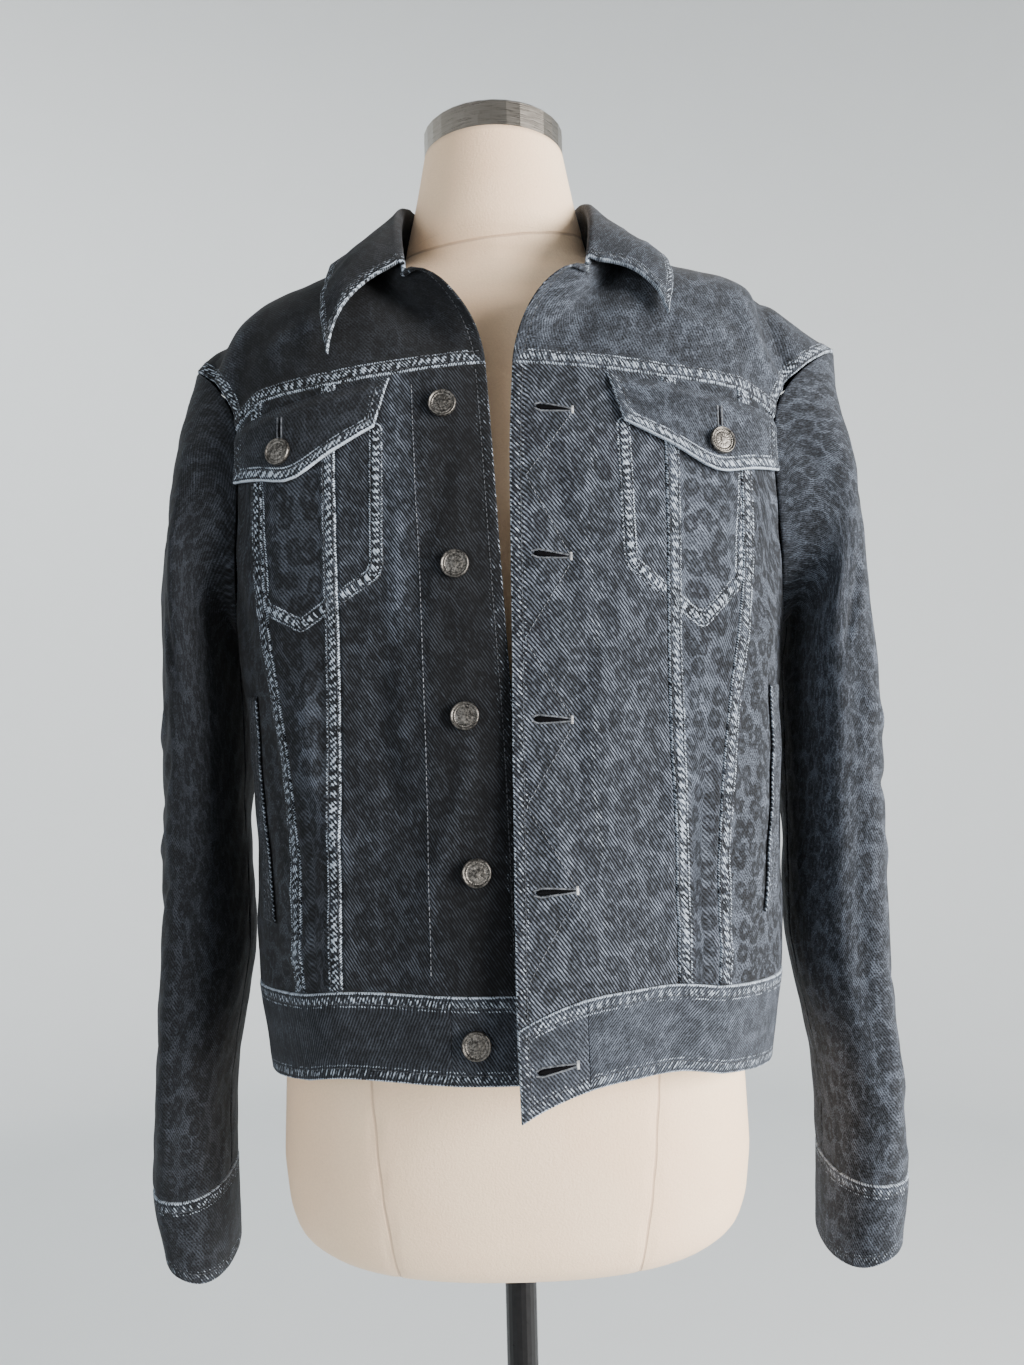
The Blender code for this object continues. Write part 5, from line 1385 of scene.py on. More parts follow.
# Extra creases of the fronts and back, in metres: across is x, up is z, side 1 the wearer's left
bodyCreases = tableOf(creaseFields, (
    (-1, 0.030, 1.300, 0.052, 1.190, 0.0085, -0.0016),
    (-1, 0.072, 1.180, 0.050, 1.060, 0.0100, -0.0018),
    (-1, 0.120, 1.175, 0.086, 1.040, 0.0110, 0.0020),
    (-1, 0.150, 1.150, 0.120, 1.020, 0.0090, -0.0020),
    (-1, 0.098, 1.030, 0.140, 0.990, 0.0080, 0.0013),
    (-1, 0.020, 1.120, 0.060, 1.010, 0.0080, 0.0012),
    (-1, 0.176, 1.250, 0.150, 1.170, 0.0090, -0.0018),
    (-1, 0.170, 1.425, 0.192, 1.335, 0.0080, -0.0050),
    (-1, 0.152, 1.415, 0.176, 1.345, 0.0085, 0.0016),
    (-1, 0.090, 1.392, 0.150, 1.372, 0.0075, 0.0012),
    (1, 0.026, 1.310, 0.040, 1.210, 0.0080, -0.0014),
    (1, 0.060, 1.200, 0.044, 1.080, 0.0095, -0.0018),
    (1, 0.118, 1.178, 0.090, 1.030, 0.0110, 0.0020),
    (1, 0.148, 1.160, 0.128, 1.040, 0.0090, -0.0018),
    (1, 0.090, 1.020, 0.136, 0.992, 0.0080, 0.0014),
    (1, 0.022, 1.090, 0.050, 1.000, 0.0075, 0.0012),
    (1, 0.180, 1.260, 0.158, 1.180, 0.0090, -0.0018),
    (1, 0.178, 1.428, 0.200, 1.335, 0.0080, -0.0058),
    (1, 0.160, 1.418, 0.184, 1.345, 0.0085, 0.0016),
    (1, 0.096, 1.395, 0.158, 1.378, 0.0075, 0.0012),
))
backCreases = tableOf(creaseFields, (
    (0, -0.170, 1.250, -0.120, 1.130, 0.0100, -0.0022),
    (0, -0.155, 1.160, -0.100, 1.050, 0.0095, 0.0018),
    (0, -0.060, 1.120, -0.030, 1.000, 0.0100, -0.0018),
    (0, 0.010, 1.150, -0.006, 1.020, 0.0090, 0.0015),
    (0, 0.052, 1.110, 0.034, 0.990, 0.0095, -0.0017),
    (0, 0.168, 1.255, 0.124, 1.120, 0.0100, -0.0020),
    (0, 0.150, 1.150, 0.108, 1.040, 0.0090, 0.0018),
    (0, -0.080, 1.300, -0.020, 1.260, 0.0095, 0.0013),
    (0, 0.086, 1.290, 0.030, 1.250, 0.0090, -0.0013),
    (0, -0.120, 1.400, -0.050, 1.385, 0.0085, -0.0012),
    (0, 0.130, 1.398, 0.060, 1.384, 0.0085, 0.0012),
))
# Sleeve creases: a is the distance round from the outer line towards the front, b is height
sleeveCreases = tableOf(creaseFields, (
    (-1, 0.020, 1.330, 0.074, 1.250, 0.0090, -0.0024),
    (-1, -0.020, 1.300, 0.040, 1.210, 0.0080, 0.0016),
    (-1, 0.075, 1.230, 0.120, 1.160, 0.0080, -0.0020),
    (-1, 0.085, 1.160, 0.022, 1.120, 0.0078, 0.0017),
    (-1, 0.098, 1.120, 0.030, 1.082, 0.0078, -0.0022),
    (-1, 0.086, 1.074, 0.018, 1.046, 0.0070, 0.0018),
    (-1, 0.094, 1.040, 0.036, 1.000, 0.0072, -0.0018),
    (-1, 0.060, 0.960, 0.016, 0.900, 0.0076, 0.0016),
    (-1, 0.082, 0.920, 0.050, 0.850, 0.0074, -0.0018),
    (-1, 0.030, 0.880, -0.020, 0.836, 0.0070, 0.0015),
    (-1, 0.070, 0.836, 0.030, 0.812, 0.0058, -0.0012),
    (-1, -0.060, 1.180, -0.110, 1.100, 0.0085, -0.0020),
    (-1, -0.050, 1.090, -0.120, 1.050, 0.0080, 0.0018),
    (-1, -0.040, 1.010, -0.100, 0.960, 0.0080, -0.0018),
    (-1, -0.070, 0.900, -0.120, 0.840, 0.0075, 0.0014),
    (1, 0.014, 1.330, 0.070, 1.262, 0.0090, -0.0022),
    (1, -0.016, 1.290, 0.036, 1.222, 0.0080, 0.0015),
    (1, 0.080, 1.240, 0.124, 1.180, 0.0080, -0.0018),
    (1, 0.090, 1.150, 0.030, 1.118, 0.0076, 0.0017),
    (1, 0.100, 1.108, 0.026, 1.076, 0.0076, -0.0022),
    (1, 0.088, 1.060, 0.034, 1.028, 0.0070, 0.0016),
    (1, 0.070, 0.980, 0.020, 0.924, 0.0076, -0.0018),
    (1, 0.086, 0.930, 0.040, 0.872, 0.0072, 0.0016),
    (1, 0.034, 0.890, -0.014, 0.846, 0.0070, -0.0015),
    (1, 0.074, 0.842, 0.036, 0.818, 0.0058, 0.0012),
    (1, -0.060, 1.190, -0.112, 1.110, 0.0085, -0.0020),
    (1, -0.050, 1.080, -0.118, 1.046, 0.0080, 0.0018),
    (1, -0.044, 1.000, -0.104, 0.950, 0.0080, -0.0018),
    (1, -0.070, 0.905, -0.116, 0.846, 0.0075, 0.0014),
))


def clothPiece(name, grid, inside, seams, relief, look, out=0.0, thick=clothWall, flipMap=1.0, key="body"):
    # One cut piece: base form, creases, seams on the named edges, stitches, and worn places and painted light
    # and shade carried by its pale values.
    points = grid["points"]
    facing = surfaceNormals(points, inside)
    shape, lift = points.shape[:2], relief.copy()
    values = {label: np.zeros(shape) + look.get(label, plain) for label, plain in (
        ("wear", 0.0), ("pale", 0.0), ("seamAcross", 0.05), ("seamAlong", 0.0), ("roped", 0.0),
        ("printed", 0.6), ("twilled", 0.25),
    )}
    for number, (edge, (kind, strength)) in enumerate(seams.items()):
        lift = lift + sewEdge(values, grid, edge, kind, strength, number, 1.3 * number + 0.7 * len(name))
    for outline in look.get("outlines", ()):
        lift = lift + sewOutline(values, outline, points, look["outlineWear"])
    values["wear"] = values["wear"] + wearLook["ridge"] * np.clip(relief / wearLook["ridgeHeight"], 0, 1)
    pale = values["pale"] + wearLook["ridgePale"] * np.clip(relief / wearLook["ridgePaleHeight"], 0, 1)
    values["pale"] = np.clip(pale, 0, 1)
    outer = points + facing * (out + lift)[..., None]
    inner = points + facing * (out - thick + clothLook["innerRelief"] * relief)[..., None]
    for here, inward in (
        (np.s_[:, 0], np.s_[:, 1]), (np.s_[:, -1], np.s_[:, -2]),
        (np.s_[0, :], np.s_[1, :]), (np.s_[-1, :], np.s_[-2, :]),
    ):
        for sheet in (outer, inner):
            sheet[here] += unit(points[inward] - points[here]) * clothLook["seamGap"]
    middle = points.shape[1] // 2
    mapU = calmMap(flipMap * (grid["sU"] - grid["sU"][:, middle:middle + 1]), 0)
    mapV = calmMap(-grid["highV"] if look.get("fromTop") else grid["sV"], 1)
    cloth = np.stack([mapU + look["mapU"], mapV + look["mapV"]], axis=-1)
    turned = np.cross(np.gradient(outer, axis=1), np.gradient(outer, axis=0))
    piece = shellMesh("cloth_" + name, outer, inner, denim, cloth, values, np.sum(turned * facing) < 0)
    rows = {"felled": seamLook["felledRows"], "edge": (seamLook["edgeRow"],), "plain": ()}
    for edge, (kind, strength) in seams.items():
        for row in rows[kind]:
            stitchRow(key, grid, outer, facing, edge, row)
    dressed[name] = {"piece": piece, "grid": grid, "outer": outer}


def calmMap(table, axis):
    # The print's layout without the sideways pull of folds, as on cloth that was printed flat.
    base = table.mean(axis=axis, keepdims=True)
    rest = table - base
    reach = 4
    for turn in range(3):
        for way in (0, 1):
            margin = [(0, 0), (0, 0)]
            margin[way] = (reach, reach)
            wide = np.pad(rest, margin, mode="reflect", reflect_type="odd")
            count = rest.shape[way]
            window = 2 * reach + 1
            rest = sum(np.take(wide, range(k, k + count), axis=way) for k in range(window)) / window
    return base + rest


def outlineDistance(corners, x, z):
    # Distance of each place from a line of corners, and how far along that line it is.
    nearest, run = np.full(x.shape, 1.0), np.zeros(x.shape)
    before = 0.0
    for (x0, z0), (x1, z1) in zip(corners[:-1], corners[1:]):
        length = math.hypot(x1 - x0, z1 - z0)
        t = np.clip(((x - x0) * (x1 - x0) + (z - z0) * (z1 - z0)) / length ** 2, 0, 1)
        off = np.hypot(x - x0 - t * (x1 - x0), z - z0 - t * (z1 - z0))
        run = np.where(off < nearest, before + t * length, run)
        nearest = np.minimum(off, nearest)
        before += length
    return nearest, run


def stitchRow(key, grid, outer, facing, edge, distance):
    # Stitches on the grid line nearest to a distance from an edge.
    table = grid[edge]
    inU = edge in ("lowU", "highU")
    middle = table[table.shape[0] // 2, :] if inU else table[:, table.shape[1] // 2]
    line = int(np.argmin(np.abs(middle - distance)))
    pick = np.s_[:, line] if inU else np.s_[line, :]
    stitches[key].append(strand(outer[pick], facing[pick]))


# The middle of each pocket bag's double row, as distance from the centre and height
pocketOutlines = {
    "r": (
        (0.0745, 1.315), (0.0755, 1.234), (0.0775, 1.227), (0.1235, 1.1975), (0.1485, 1.2105), (0.153, 1.3),
    ),
    "l": (
        (0.075, 1.315), (0.0765, 1.236), (0.0785, 1.229), (0.121, 1.1945), (0.146, 1.2205), (0.153, 1.3),
    ),
}


# Base paleness of each side's cloth: painted light on the wearer's left, which faces the key light, and
# painted shade on the right.
sideLitPale = {"r": 0.17, "l": 0.62}


# Pale, worn and shaded places of the fronts. The edge darkening is painted shadow of the overlapping left
# front on the right front, together with less wear under the overlap.
fadeAndShadeLines = {
    "bag": (0.078, 0.150), "bagLow": 1.205, "bagTop": 1.330, "bagPale": 0.22,
    "edge": 0.055, "edgeShadowAndLessWear": 0.20,
    "stripe": 0.0640, "stripeWidth": 0.0080, "stripePale": 0.65, "stripeLow": 1.17,
    "band": 0.0530, "bandSway": 0.003, "bandWidth": 0.0036, "bandTop": 1.345, "bandWear": 0.42,
}


def frontPaleAndShade(letter, grid):
    # Pale places: each side's base paleness, with painted light on the wearer's left and painted shade on the
    # right; the pocket bags' cover; and, on the right front, a stripe beside its edge, which is darkened by
    # painted shadow of the overlapping left front and by less wear under it.
    look = fadeAndShadeLines
    x, z = np.abs(grid["points"][..., 0]), grid["points"][..., 2]
    inner, outer = look["bag"]
    bag = smoothStep((x - inner) / 0.008) * smoothStep((outer - x) / 0.008)
    bag = bag * smoothStep((z - look["bagLow"]) / 0.020)
    found = sideLitPale[letter] + look["bagPale"] * bag * smoothStep((look["bagTop"] - z) / 0.010)
    if letter == "r":
        # Darker near the right front's edge: painted shadow of the overlapping left front, and less wear
        # under it.
        found = found - look["edgeShadowAndLessWear"] * smoothStep((look["edge"] - x) / 0.03)
        stripe = bell(x - look["stripe"], look["stripeWidth"]) * smoothStep((z - look["stripeLow"]) / 0.05)
        found = found + look["stripePale"] * stripe
    return found


def frontWear(letter, grid):
    # The left front's abraded band beside its buttonholes.
    look = fadeAndShadeLines
    x, z = np.abs(grid["points"][..., 0]), grid["points"][..., 2]
    band = bell(x - look["band"] + look["bandSway"] * np.sin(z * 47), look["bandWidth"])
    band = band * smoothStep((look["bandTop"] - z) / 0.02)
    return look["bandWear"] * band * (0.65 + 0.35 * np.sin(z * 83) * np.sin(z * 31)) * (letter == "l")


def acrossUp(grid, side=1):
    # Distance from the centre towards one side, and height, of each grid point.
    return side * grid["points"][..., 0], grid["points"][..., 2]


def frontRelief(side, grid):
    x, z = acrossUp(grid, side)
    quiet = pocketQuiet(x, z)
    return creaseRelief(bodyCreases, side, x, z) * quiet + unevenness(x, z, 1.0 + side) * (0.4 + 0.6 * quiet)


def pocketQuiet(x, z):
    # The flaps and what they cover stay smooth.
    across = smoothStep((x - 0.050) / 0.012) * smoothStep((0.186 - x) / 0.012)
    up = smoothStep((z - 1.272) / 0.012) * smoothStep((1.350 - z) / 0.010)
    return 1 - across * up


def backRelief(grid):
    x, z = acrossUp(grid)
    return creaseRelief(backCreases, 0, x, z) + unevenness(x, z, 4.0)


def makeBody():
    seam1, seam2 = frontCentre, frontCentre + frontMid
    for side, letter in sides:
        surface = partial(frontSurface, side)
        panels = (
            # The right front's opening edge gets less seam wear than the left's: painted shade on that edge.
            ("front_centre_", 0, seam1, ("edge", 0.60 + 0.15 * side), 1.0, 0.75, 1.0),
            ("front_mid_", seam1, seam2, ("felled", 0.9), 0.6, 0.9, 0.6),
            ("front_side_", seam2, frontColumns, ("felled", 0.85), 0.6, 1.0, 0.3),
        )
        for name, low, high, lowSeam, highSeam, printed, twilled in panels:
            grid = fineGrid(surface, (low, high), (bandRow, yokeRow))
            seams = {"lowU": lowSeam, "highU": ("plain", highSeam)}
            seams.update(lowV=("plain", 0.8), highV=("plain", 0.6))
            look = {
                "mapU": side * low * 0.03 + 0.5 * side, "mapV": 0.3 + 0.07 * low, "printed": printed,
                "twilled": twilled, "pale": frontPaleAndShade(letter, grid), "wear": frontWear(letter, grid),
                "outlines": (pocketOutlines[letter],) if name != "front_side_" else (), "outlineWear": 1.6,
            }
            clothPiece(name + letter, grid, bodyInside, seams, frontRelief(side, grid), look, flipMap=side)
        grid = fineGrid(surface, (0, frontColumns), (yokeRow, topRow))
        seams = {"lowV": ("felled", 0.9), "highV": ("felled", 0.8)}
        seams.update(lowU=("edge", 0.3), highU=("felled", 0.9))
        # The yokes' paleness: painted light on the wearer's left yoke, painted shade on the right yoke, which
        # is turned from the key light.
        look = {"mapU": 1.9 * side, "mapV": 1.1, "pale": 0.29 + 0.27 * side, "printed": 0.62, "twilled": 0.35}
        relief = frontRelief(side, grid)
        clothPiece("front_yoke_" + letter, grid, bodyInside, seams, relief, look, flipMap=side)
    print("fronts made", len(stitches["body"]))


def makeBack():
    panels = (
        ("back_side_r", -backColumns, -backCentre, {"highU": ("plain", 0.8), "lowU": ("plain", 0.8)}),
        ("back_centre", -backCentre, backCentre, {"lowU": ("felled", 0.7), "highU": ("felled", 0.7)}),
        ("back_side_l", backCentre, backColumns, {"lowU": ("plain", 0.8), "highU": ("plain", 0.8)}),
    )
    for name, low, high, seams in panels:
        grid = fineGrid(backSurface, (low, high), (bandRow, yokeRow))
        seams = dict(seams, lowV=("plain", 0.8), highV=("plain", 0.6))
        look = {"mapU": 3.0 + 0.1 * low, "mapV": 0.5, "printed": 0.8, "pale": 0.3, "twilled": 0.4}
        clothPiece(name, grid, bodyInside, seams, backRelief(grid), look, flipMap=-1.0)
    grid = fineGrid(backSurface, (-backColumns, backColumns), (yokeRow, topRow))
    sideSeam = ("felled", 0.5)
    seams = {"lowV": ("felled", 0.9), "highV": ("plain", 0.8), "lowU": sideSeam, "highU": sideSeam}
    look = {"mapU": 4.1, "mapV": 1.7, "printed": 0.7, "pale": 0.3}
    clothPiece("back_yoke", grid, bodyInside, seams, backRelief(grid), look, flipMap=-1.0)
    print("back made")


def bandSideLitPale(grid):
    # Painted light and shade: paler towards the wearer's left, which faces the key light, and darker towards
    # the right.
    return sideLitPale["r"] + (sideLitPale["l"] - sideLitPale["r"]) * smoothStep(grid["points"][..., 0] / 0.10 + 0.5)


def makeBand():
    ring = 2 * (frontColumns + backColumns)
    seams = {"lowV": ("edge", 1.0), "highV": ("edge", 1.1), "lowU": ("plain", 0.2), "highU": ("plain", 0.2)}
    grid = fineGrid(bandSurface, (tabColumn, ring - tabColumn), (0, bandRow), samples=240)
    uneven = unevenness(grid["sU"], grid["sV"], 7.0, 0.0002)
    # Side paleness: painted light on the wearer's left, painted shade on the right.
    look = {"mapU": 5.0, "mapV": 2.0, "printed": 0.4, "twilled": 0.65, "pale": bandSideLitPale(grid)}
    clothPiece("waistband", grid, bodyInside, seams, uneven, look, bandOut + 0.0003, doubleCloth + 0.0003)
    for side, letter in sides:
        surface = partial(frontSurface, side)
        grid = fineGrid(surface, (0, tabColumn), (0, bandRow))
        uneven = unevenness(grid["sU"], grid["sV"], 8.0 + side, 0.0002)
        ends = {"lowU": ("edge", 0.8), "highU": ("plain", 0.2)}
        # Side paleness: painted light on the wearer's left, painted shade on the right.
        look = {"mapU": 6.0 + side, "mapV": 2.3, "printed": 0.35, "twilled": 0.7, "pale": bandSideLitPale(grid)}
        clothPiece(
            "waistband_tab_" + letter, grid, bodyInside, dict(ends, lowV=("edge", 1.0), highV=("edge", 1.1)),
            uneven, look, bandOut + 0.0003, doubleCloth + 0.0003, side,
        )
    print("waistband made")


sleeveColumnWidth = 0.0235


def sleeveCreased(side, grid):
    half = sleeveColumns / 2
    around = ((grid["u"] + half) % sleeveColumns - half) * sleeveColumnWidth
    height = grid["points"][..., 2]
    return creaseRelief(sleeveCreases, side, around, height) + unevenness(around, height, 2.5 + side)


def makeSleeves():
    back, under = sleeveBackSeam - sleeveColumns, armholeSteps
    for side, letter in sides:
        for name, low, high, seams in (
            ("sleeve_top_", back, under, {"lowU": ("felled", 0.5), "highU": ("plain", 0.6)}),
            ("sleeve_under_", under, sleeveBackSeam, {"lowU": ("plain", 0.6), "highU": ("plain", 0.6)}),
        ):
            grid = fineGrid(partial(sleeveSurface, side), (low, high), (sleeveSetIn, sleeveRows))
            inside = sleeveAxis(side, grid["v"])
            seams = dict(seams, lowV=("plain", 0.7), highV=("plain", 0.9))
            relief = sleeveCreased(side, grid) * smoothStep(grid["lowV"] / 0.03)
            look = {
                "mapU": 7.0 + side + 0.2 * low, "mapV": 3.0, "fromTop": True,
                # Side paleness: painted light on the wearer's left, painted shade on the right.
                "printed": 0.78, "twilled": 0.40, "pale": 0.92 * sideLitPale[letter],
            }
            clothPiece(name + letter, grid, inside, seams, relief, look, flipMap=side, key="sleeves")
        makeCuff(side, letter)
    print("sleeves made")


def makeCuff(side, letter):
    def surface(share, row):
        return cuffGrid(side, share, row, np.full(np.shape(share), bandOut))

    grid = fineGrid(surface, (0.0, 1.0), (sleeveRows, sleeveRows + cuffRows), samples=160)
    inside = sleeveAxis(side, np.clip(grid["v"], sleeveRows, sleeveRows + cuffRows))
    seams = {"lowV": ("edge", 0.95), "highV": ("edge", 0.7), "lowU": ("edge", 0.6), "highU": ("edge", 0.6)}
    uneven = unevenness(grid["sU"], grid["sV"], 9.0 + side, 0.00018)
    # Side paleness: painted light on the wearer's left, painted shade on the right.
    look = {"mapU": 8.5 + side, "mapV": 3.6, "printed": 0.7, "twilled": 0.4, "pale": sideLitPale[letter]}
    clothPiece("cuff_" + letter, grid, inside, seams, uneven, look, 0.0003, doubleCloth, side, "sleeves")


flapLook = {"clear": 0.0012, "wall": 0.0020, "tipLift": 0.0010, "tuck": 0.015, "sink": 0.0024}


def makeFlaps():
    for side, letter in sides:
        def surface(share, drop, side=side):
            x, z = flapGrid(side, share, drop)
            return frontSurface(side, *gridPlace(side, x, z))

        grid = fineGrid(surface, (0.0, 1.0), (1.0, -flapLook["tuck"]), step=0.0028)
        x, z = acrossUp(grid, side)
        lifted = smoothStep((grid["v"] - 0.5) / 0.5)
        relief = 0.4 * unevenness(x, z, 1.0 + side) + flapLook["tipLift"] * lifted
        sunk = 1 - smoothStep(grid["highV"] / 0.009)
        relief = relief - flapLook["sink"] * sunk
        seams = {"lowV": ("edge", 1.5), "lowU": ("edge", 0.8), "highU": ("edge", 0.8)}
        look = {
            # Side paleness: painted light on the wearer's left, painted shade on the right.
            "mapU": 9.0 + side, "mapV": 4.0, "pale": sideLitPale[letter] + 0.02, "printed": 0.65, "twilled": 0.4,
        }
        out = flapLook["clear"] + flapLook["wall"]
        thick = flapLook["wall"] - 0.14 * flapLook["sink"] * sunk
        clothPiece("flap_" + letter, grid, bodyInside, seams, relief, look, out, thick, side, "trim")


def makeWelts():
    for side, letter in sides:
        def surface(share, height, side=side):
            middle = read(weltLine, "share", height) * halfWidth(side, height)
            return frontSurface(side, *gridPlace(side, middle + weltWidth * (share - 0.5), height))

        grid = fineGrid(surface, (0.0, 1.0), (weltLine[0].height, weltLine[-1].height), step=0.0024)
        x, z = acrossUp(grid, side)
        relief = creaseRelief(bodyCreases, side, x, z) + unevenness(x, z, 1.0 + side)
        end = ("plain", 1.0)
        seams = {"lowU": ("edge", 0.6), "highU": ("edge", 0.5), "lowV": end, "highV": end}
        # Side paleness: painted light on the wearer's left, painted shade on the right.
        look = {"mapU": 10.0 + side, "mapV": 4.4, "pale": sideLitPale[letter]}
        out = 0.0012 + weltWall
        clothPiece("side_welt_" + letter, grid, bodyInside, seams, relief, look, out, weltWall, side, "trim")


def makePocketBags():
    # Behind the panels, hung from the yoke seam.
    for side, letter in sides:
        def surface(share, drop, side=side):
            return frontSurface(side, *gridPlace(side, *pocketGrid(share, drop)))

        grid = fineGrid(surface, (0.0, 1.0), (1.0, 0.0), step=0.006)
        x, z = acrossUp(grid, side)
        seams = dict.fromkeys(("lowU", "highU", "lowV", "highV"), ("plain", 0.4))
        look = {"mapU": 12.0 + side, "mapV": 6.0}
        relief = 0.5 * unevenness(x, z, 1.0 + side)
        out = -(clothWall + behindGap)
        name = "pocket_bag_" + letter
        clothPiece(name, grid, bodyInside, seams, relief, look, out, pocketWall, side, "trim")


def collarTable(columns, rows):
    # The collar's outer face: up the stand, over the fold and down the leaf, all round the neck.
    table = []
    places = np.linspace(-1, 1, columns)
    for place in places:
        side = leftSide if place >= 0 else rightSide
        table.append(collarLine(side, min(abs(float(place)), 1.0), rows))
    return np.array(table).transpose(1, 0, 2)


def collarLine(side, around, rows):
    # The collar's profile at one place: up inside the neck, over the fold and down to its edge.
    seam, fold = neckPoint(side, around), neckPoint(side, around, "fold")
    column = read(leafEdge, sideName(side), around)
    row = topRow - read(leafEdge, "down" + sideName(side).capitalize(), around)
    surface, ends = partial(frontSurface, side), frontEnds
    if around < 0.5:
        surface, ends, column = backSurface, backEnds, side * column
    face = surface(np.array(column), np.array(row))
    facing = normals(surface, np.array(column), np.array(row), ends, rowEnds, bodyInside)
    edge = face + facing * (doubleCloth + laidOn + read(leafEdge, "lift", around))
    radius, turned = collarFoldRadius, math.radians(collarTurn)
    up = unit(fold - seam)
    away = unit(edge - fold - up * np.dot(edge - fold, up))
    start, turnStart = seam + up * collarSeamGap, fold - up * radius
    centre = turnStart + away * radius
    leafStart = centre - away * radius * math.cos(turned) + up * radius * math.sin(turned)
    across = unit(np.cross(edge - leafStart, np.cross(up, away)))
    bulge = across * np.sign(across[2]) * read(leafEdge, "bulge", around)
    standLength, foldLength = np.linalg.norm(turnStart - start), radius * turned
    leafLength = np.linalg.norm(edge - leafStart)
    found = []
    for s in np.linspace(0, standLength + foldLength + leafLength, rows):
        if s < standLength:
            found.append(start + (turnStart - start) * s / standLength)
        elif s < standLength + foldLength:
            angle = (s - standLength) / radius
            found.append(centre - away * radius * math.cos(angle) + up * radius * math.sin(angle))
        else:
            t = min((s - standLength - foldLength) / leafLength, 1.0)
            found.append(leafStart + (edge - leafStart) * t + bulge * 4 * t * (1 - t))
    return np.array(found)


def tableSurface(table):
    rows, columns = table.shape[:2]

    def surface(u, v):
        u, v = np.broadcast_arrays(np.asarray(u, float), np.asarray(v, float))
        c = np.clip((u + 1) / 2 * (columns - 1), 0, columns - 1 - 1e-6)
        r = np.clip(v * (rows - 1), 0, rows - 1 - 1e-6)
        i, j = r.astype(int), c.astype(int)
        a, b = (r - i)[..., None], (c - j)[..., None]
        low = table[i, j] * (1 - b) + table[i, j + 1] * b
        high = table[i + 1, j] * (1 - b) + table[i + 1, j + 1] * b
        return low * (1 - a) + high * a

    return surface


def makeCollar():
    table = collarTable(221, 72)
    for turn in range(2):
        table[1:-1] = (table[:-2] + 2 * table[1:-1] + table[2:]) / 4
    grid = fineGrid(tableSurface(table), (-1.0, 1.0), (0.0, 1.0), step=0.0030, samples=180)
    facing = surfaceNormals(grid["points"], bodyInside)
    top = facing[grid["points"].shape[0] // 2, :, 2].mean()
    inside = bodyInside if top > 0 else bodyInside + np.array([0, 0, 3.0])
    seams = {"highV": ("edge", 1.1), "lowU": ("edge", 0.8), "highU": ("edge", 0.8), "lowV": ("plain", 0.5)}
    leaf = smoothStep(grid["sV"] / 0.05 - 0.6)
    relief = unevenness(grid["sU"], grid["sV"], 11.0, 0.0006) * leaf
    # Side paleness: painted light on the wearer's left, painted shade on the right.
    look = {"mapU": 11.0, "mapV": 5.0, "pale": bandSideLitPale(grid) - 0.10, "printed": 0.6, "twilled": 0.4}
    clothPiece("collar", grid, inside, seams, relief, look, 0.0, doubleCloth, 1.0, "trim")
    print("collar made")


def surfaceTree(names):
    points, faces, count = [], [], 0
    for name in names:
        outer = dressed[name]["outer"]
        rows, columns = outer.shape[:2]
        index = np.arange(rows * columns).reshape(rows, columns) + count
        points.append(outer.reshape(-1, 3))
        faces.append(quadFaces(index))
        count += rows * columns
    return BVHTree.FromPolygons(np.concatenate(points).tolist(), np.concatenate(faces).tolist())


def onFront(side, tree, x, z):
    # Points and normals of the dressed front at distances x from the centre and heights z.
    x, z = np.asarray(x, float), np.asarray(z, float)
    places, facing = [], []
    for p in frontSurface(side, *gridPlace(side, x, z)):
        out = Vector((p[0] * 0.55, p[1] * 1.6, 0.0)).normalized()
        hit, normal = tree.ray_cast(Vector(p) + out * 0.012, -out, 0.03)[:2]
        if hit is None:
            hit, normal = tree.find_nearest(Vector(p))[:2]
        places.append(tuple(hit))
        facing.append(tuple(normal if normal.dot(out) > 0 else -normal))
    return np.array(places), np.array(facing)


def linePoints(corners, step=0.002):
    # Evenly spaced points along straight runs between corners.
    found = []
    for (x0, z0), (x1, z1) in zip(corners[:-1], corners[1:]):
        count = max(int(math.hypot(x1 - x0, z1 - z0) / step), 1)
        found += [(x0 + (x1 - x0) * k / count, z0 + (z1 - z0) * k / count) for k in range(count)]
    return np.array(found + [corners[-1]])


placketLines = {
    "r": (((0.0530, 1.345), (0.0500, 1.240), (0.0480, 1.120), (0.0470, 0.990)),),
    "l": (
        ((0.0445, 1.3225), (0.0150, 1.2830), (0.0410, 1.2335)),
        ((0.0410, 1.2305), (0.0120, 1.1855), (0.0390, 1.1370)),
        ((0.0390, 1.1340), (0.0105, 1.0890), (0.0385, 1.0415)),
        ((0.0385, 1.0385), (0.0085, 0.9900)),
    ),
}
buttonHoles = tableOf("start height length tilt", (
    (0.0215, 1.3250, 0.0220, -0.0014),
    (0.0175, 1.2350, 0.0225, -0.0011),
    (0.0150, 1.1380, 0.0230, -0.0006),
    (0.0135, 1.0405, 0.0240, 0.0002),
    (0.0120, 0.9435, 0.0230, 0.0010),
))
holeLook = {
    "wide": 0.0019, "proud": 0.00045, "flapWide": 0.0009, "flapHole": (0.0092, 0.0225), "flapLift": 0.0013,
    "flapBar": 0.0014, "barLift": 0.0027, "bar": 0.0013, "barPitch": 0.00062,
    "tackAfter": 0.0008, "tack": 0.0022, "tackPitch": 0.00050,
}


def offsetLine(corners, off):
    # The same line of corners moved sideways, with its bends kept sharp.
    points = np.array(corners)
    runs = unit(np.diff(points, axis=0))
    sides = np.stack([-runs[:, 1], runs[:, 0]], axis=-1)
    moved = [points[0] + sides[0] * off]
    for k in range(1, len(points) - 1):
        bend = sides[k - 1] + sides[k]
        moved.append(points[k] + bend * off * 2 / np.dot(bend, bend))
    return [tuple(p) for p in moved + [points[-1] + sides[-1] * off]]


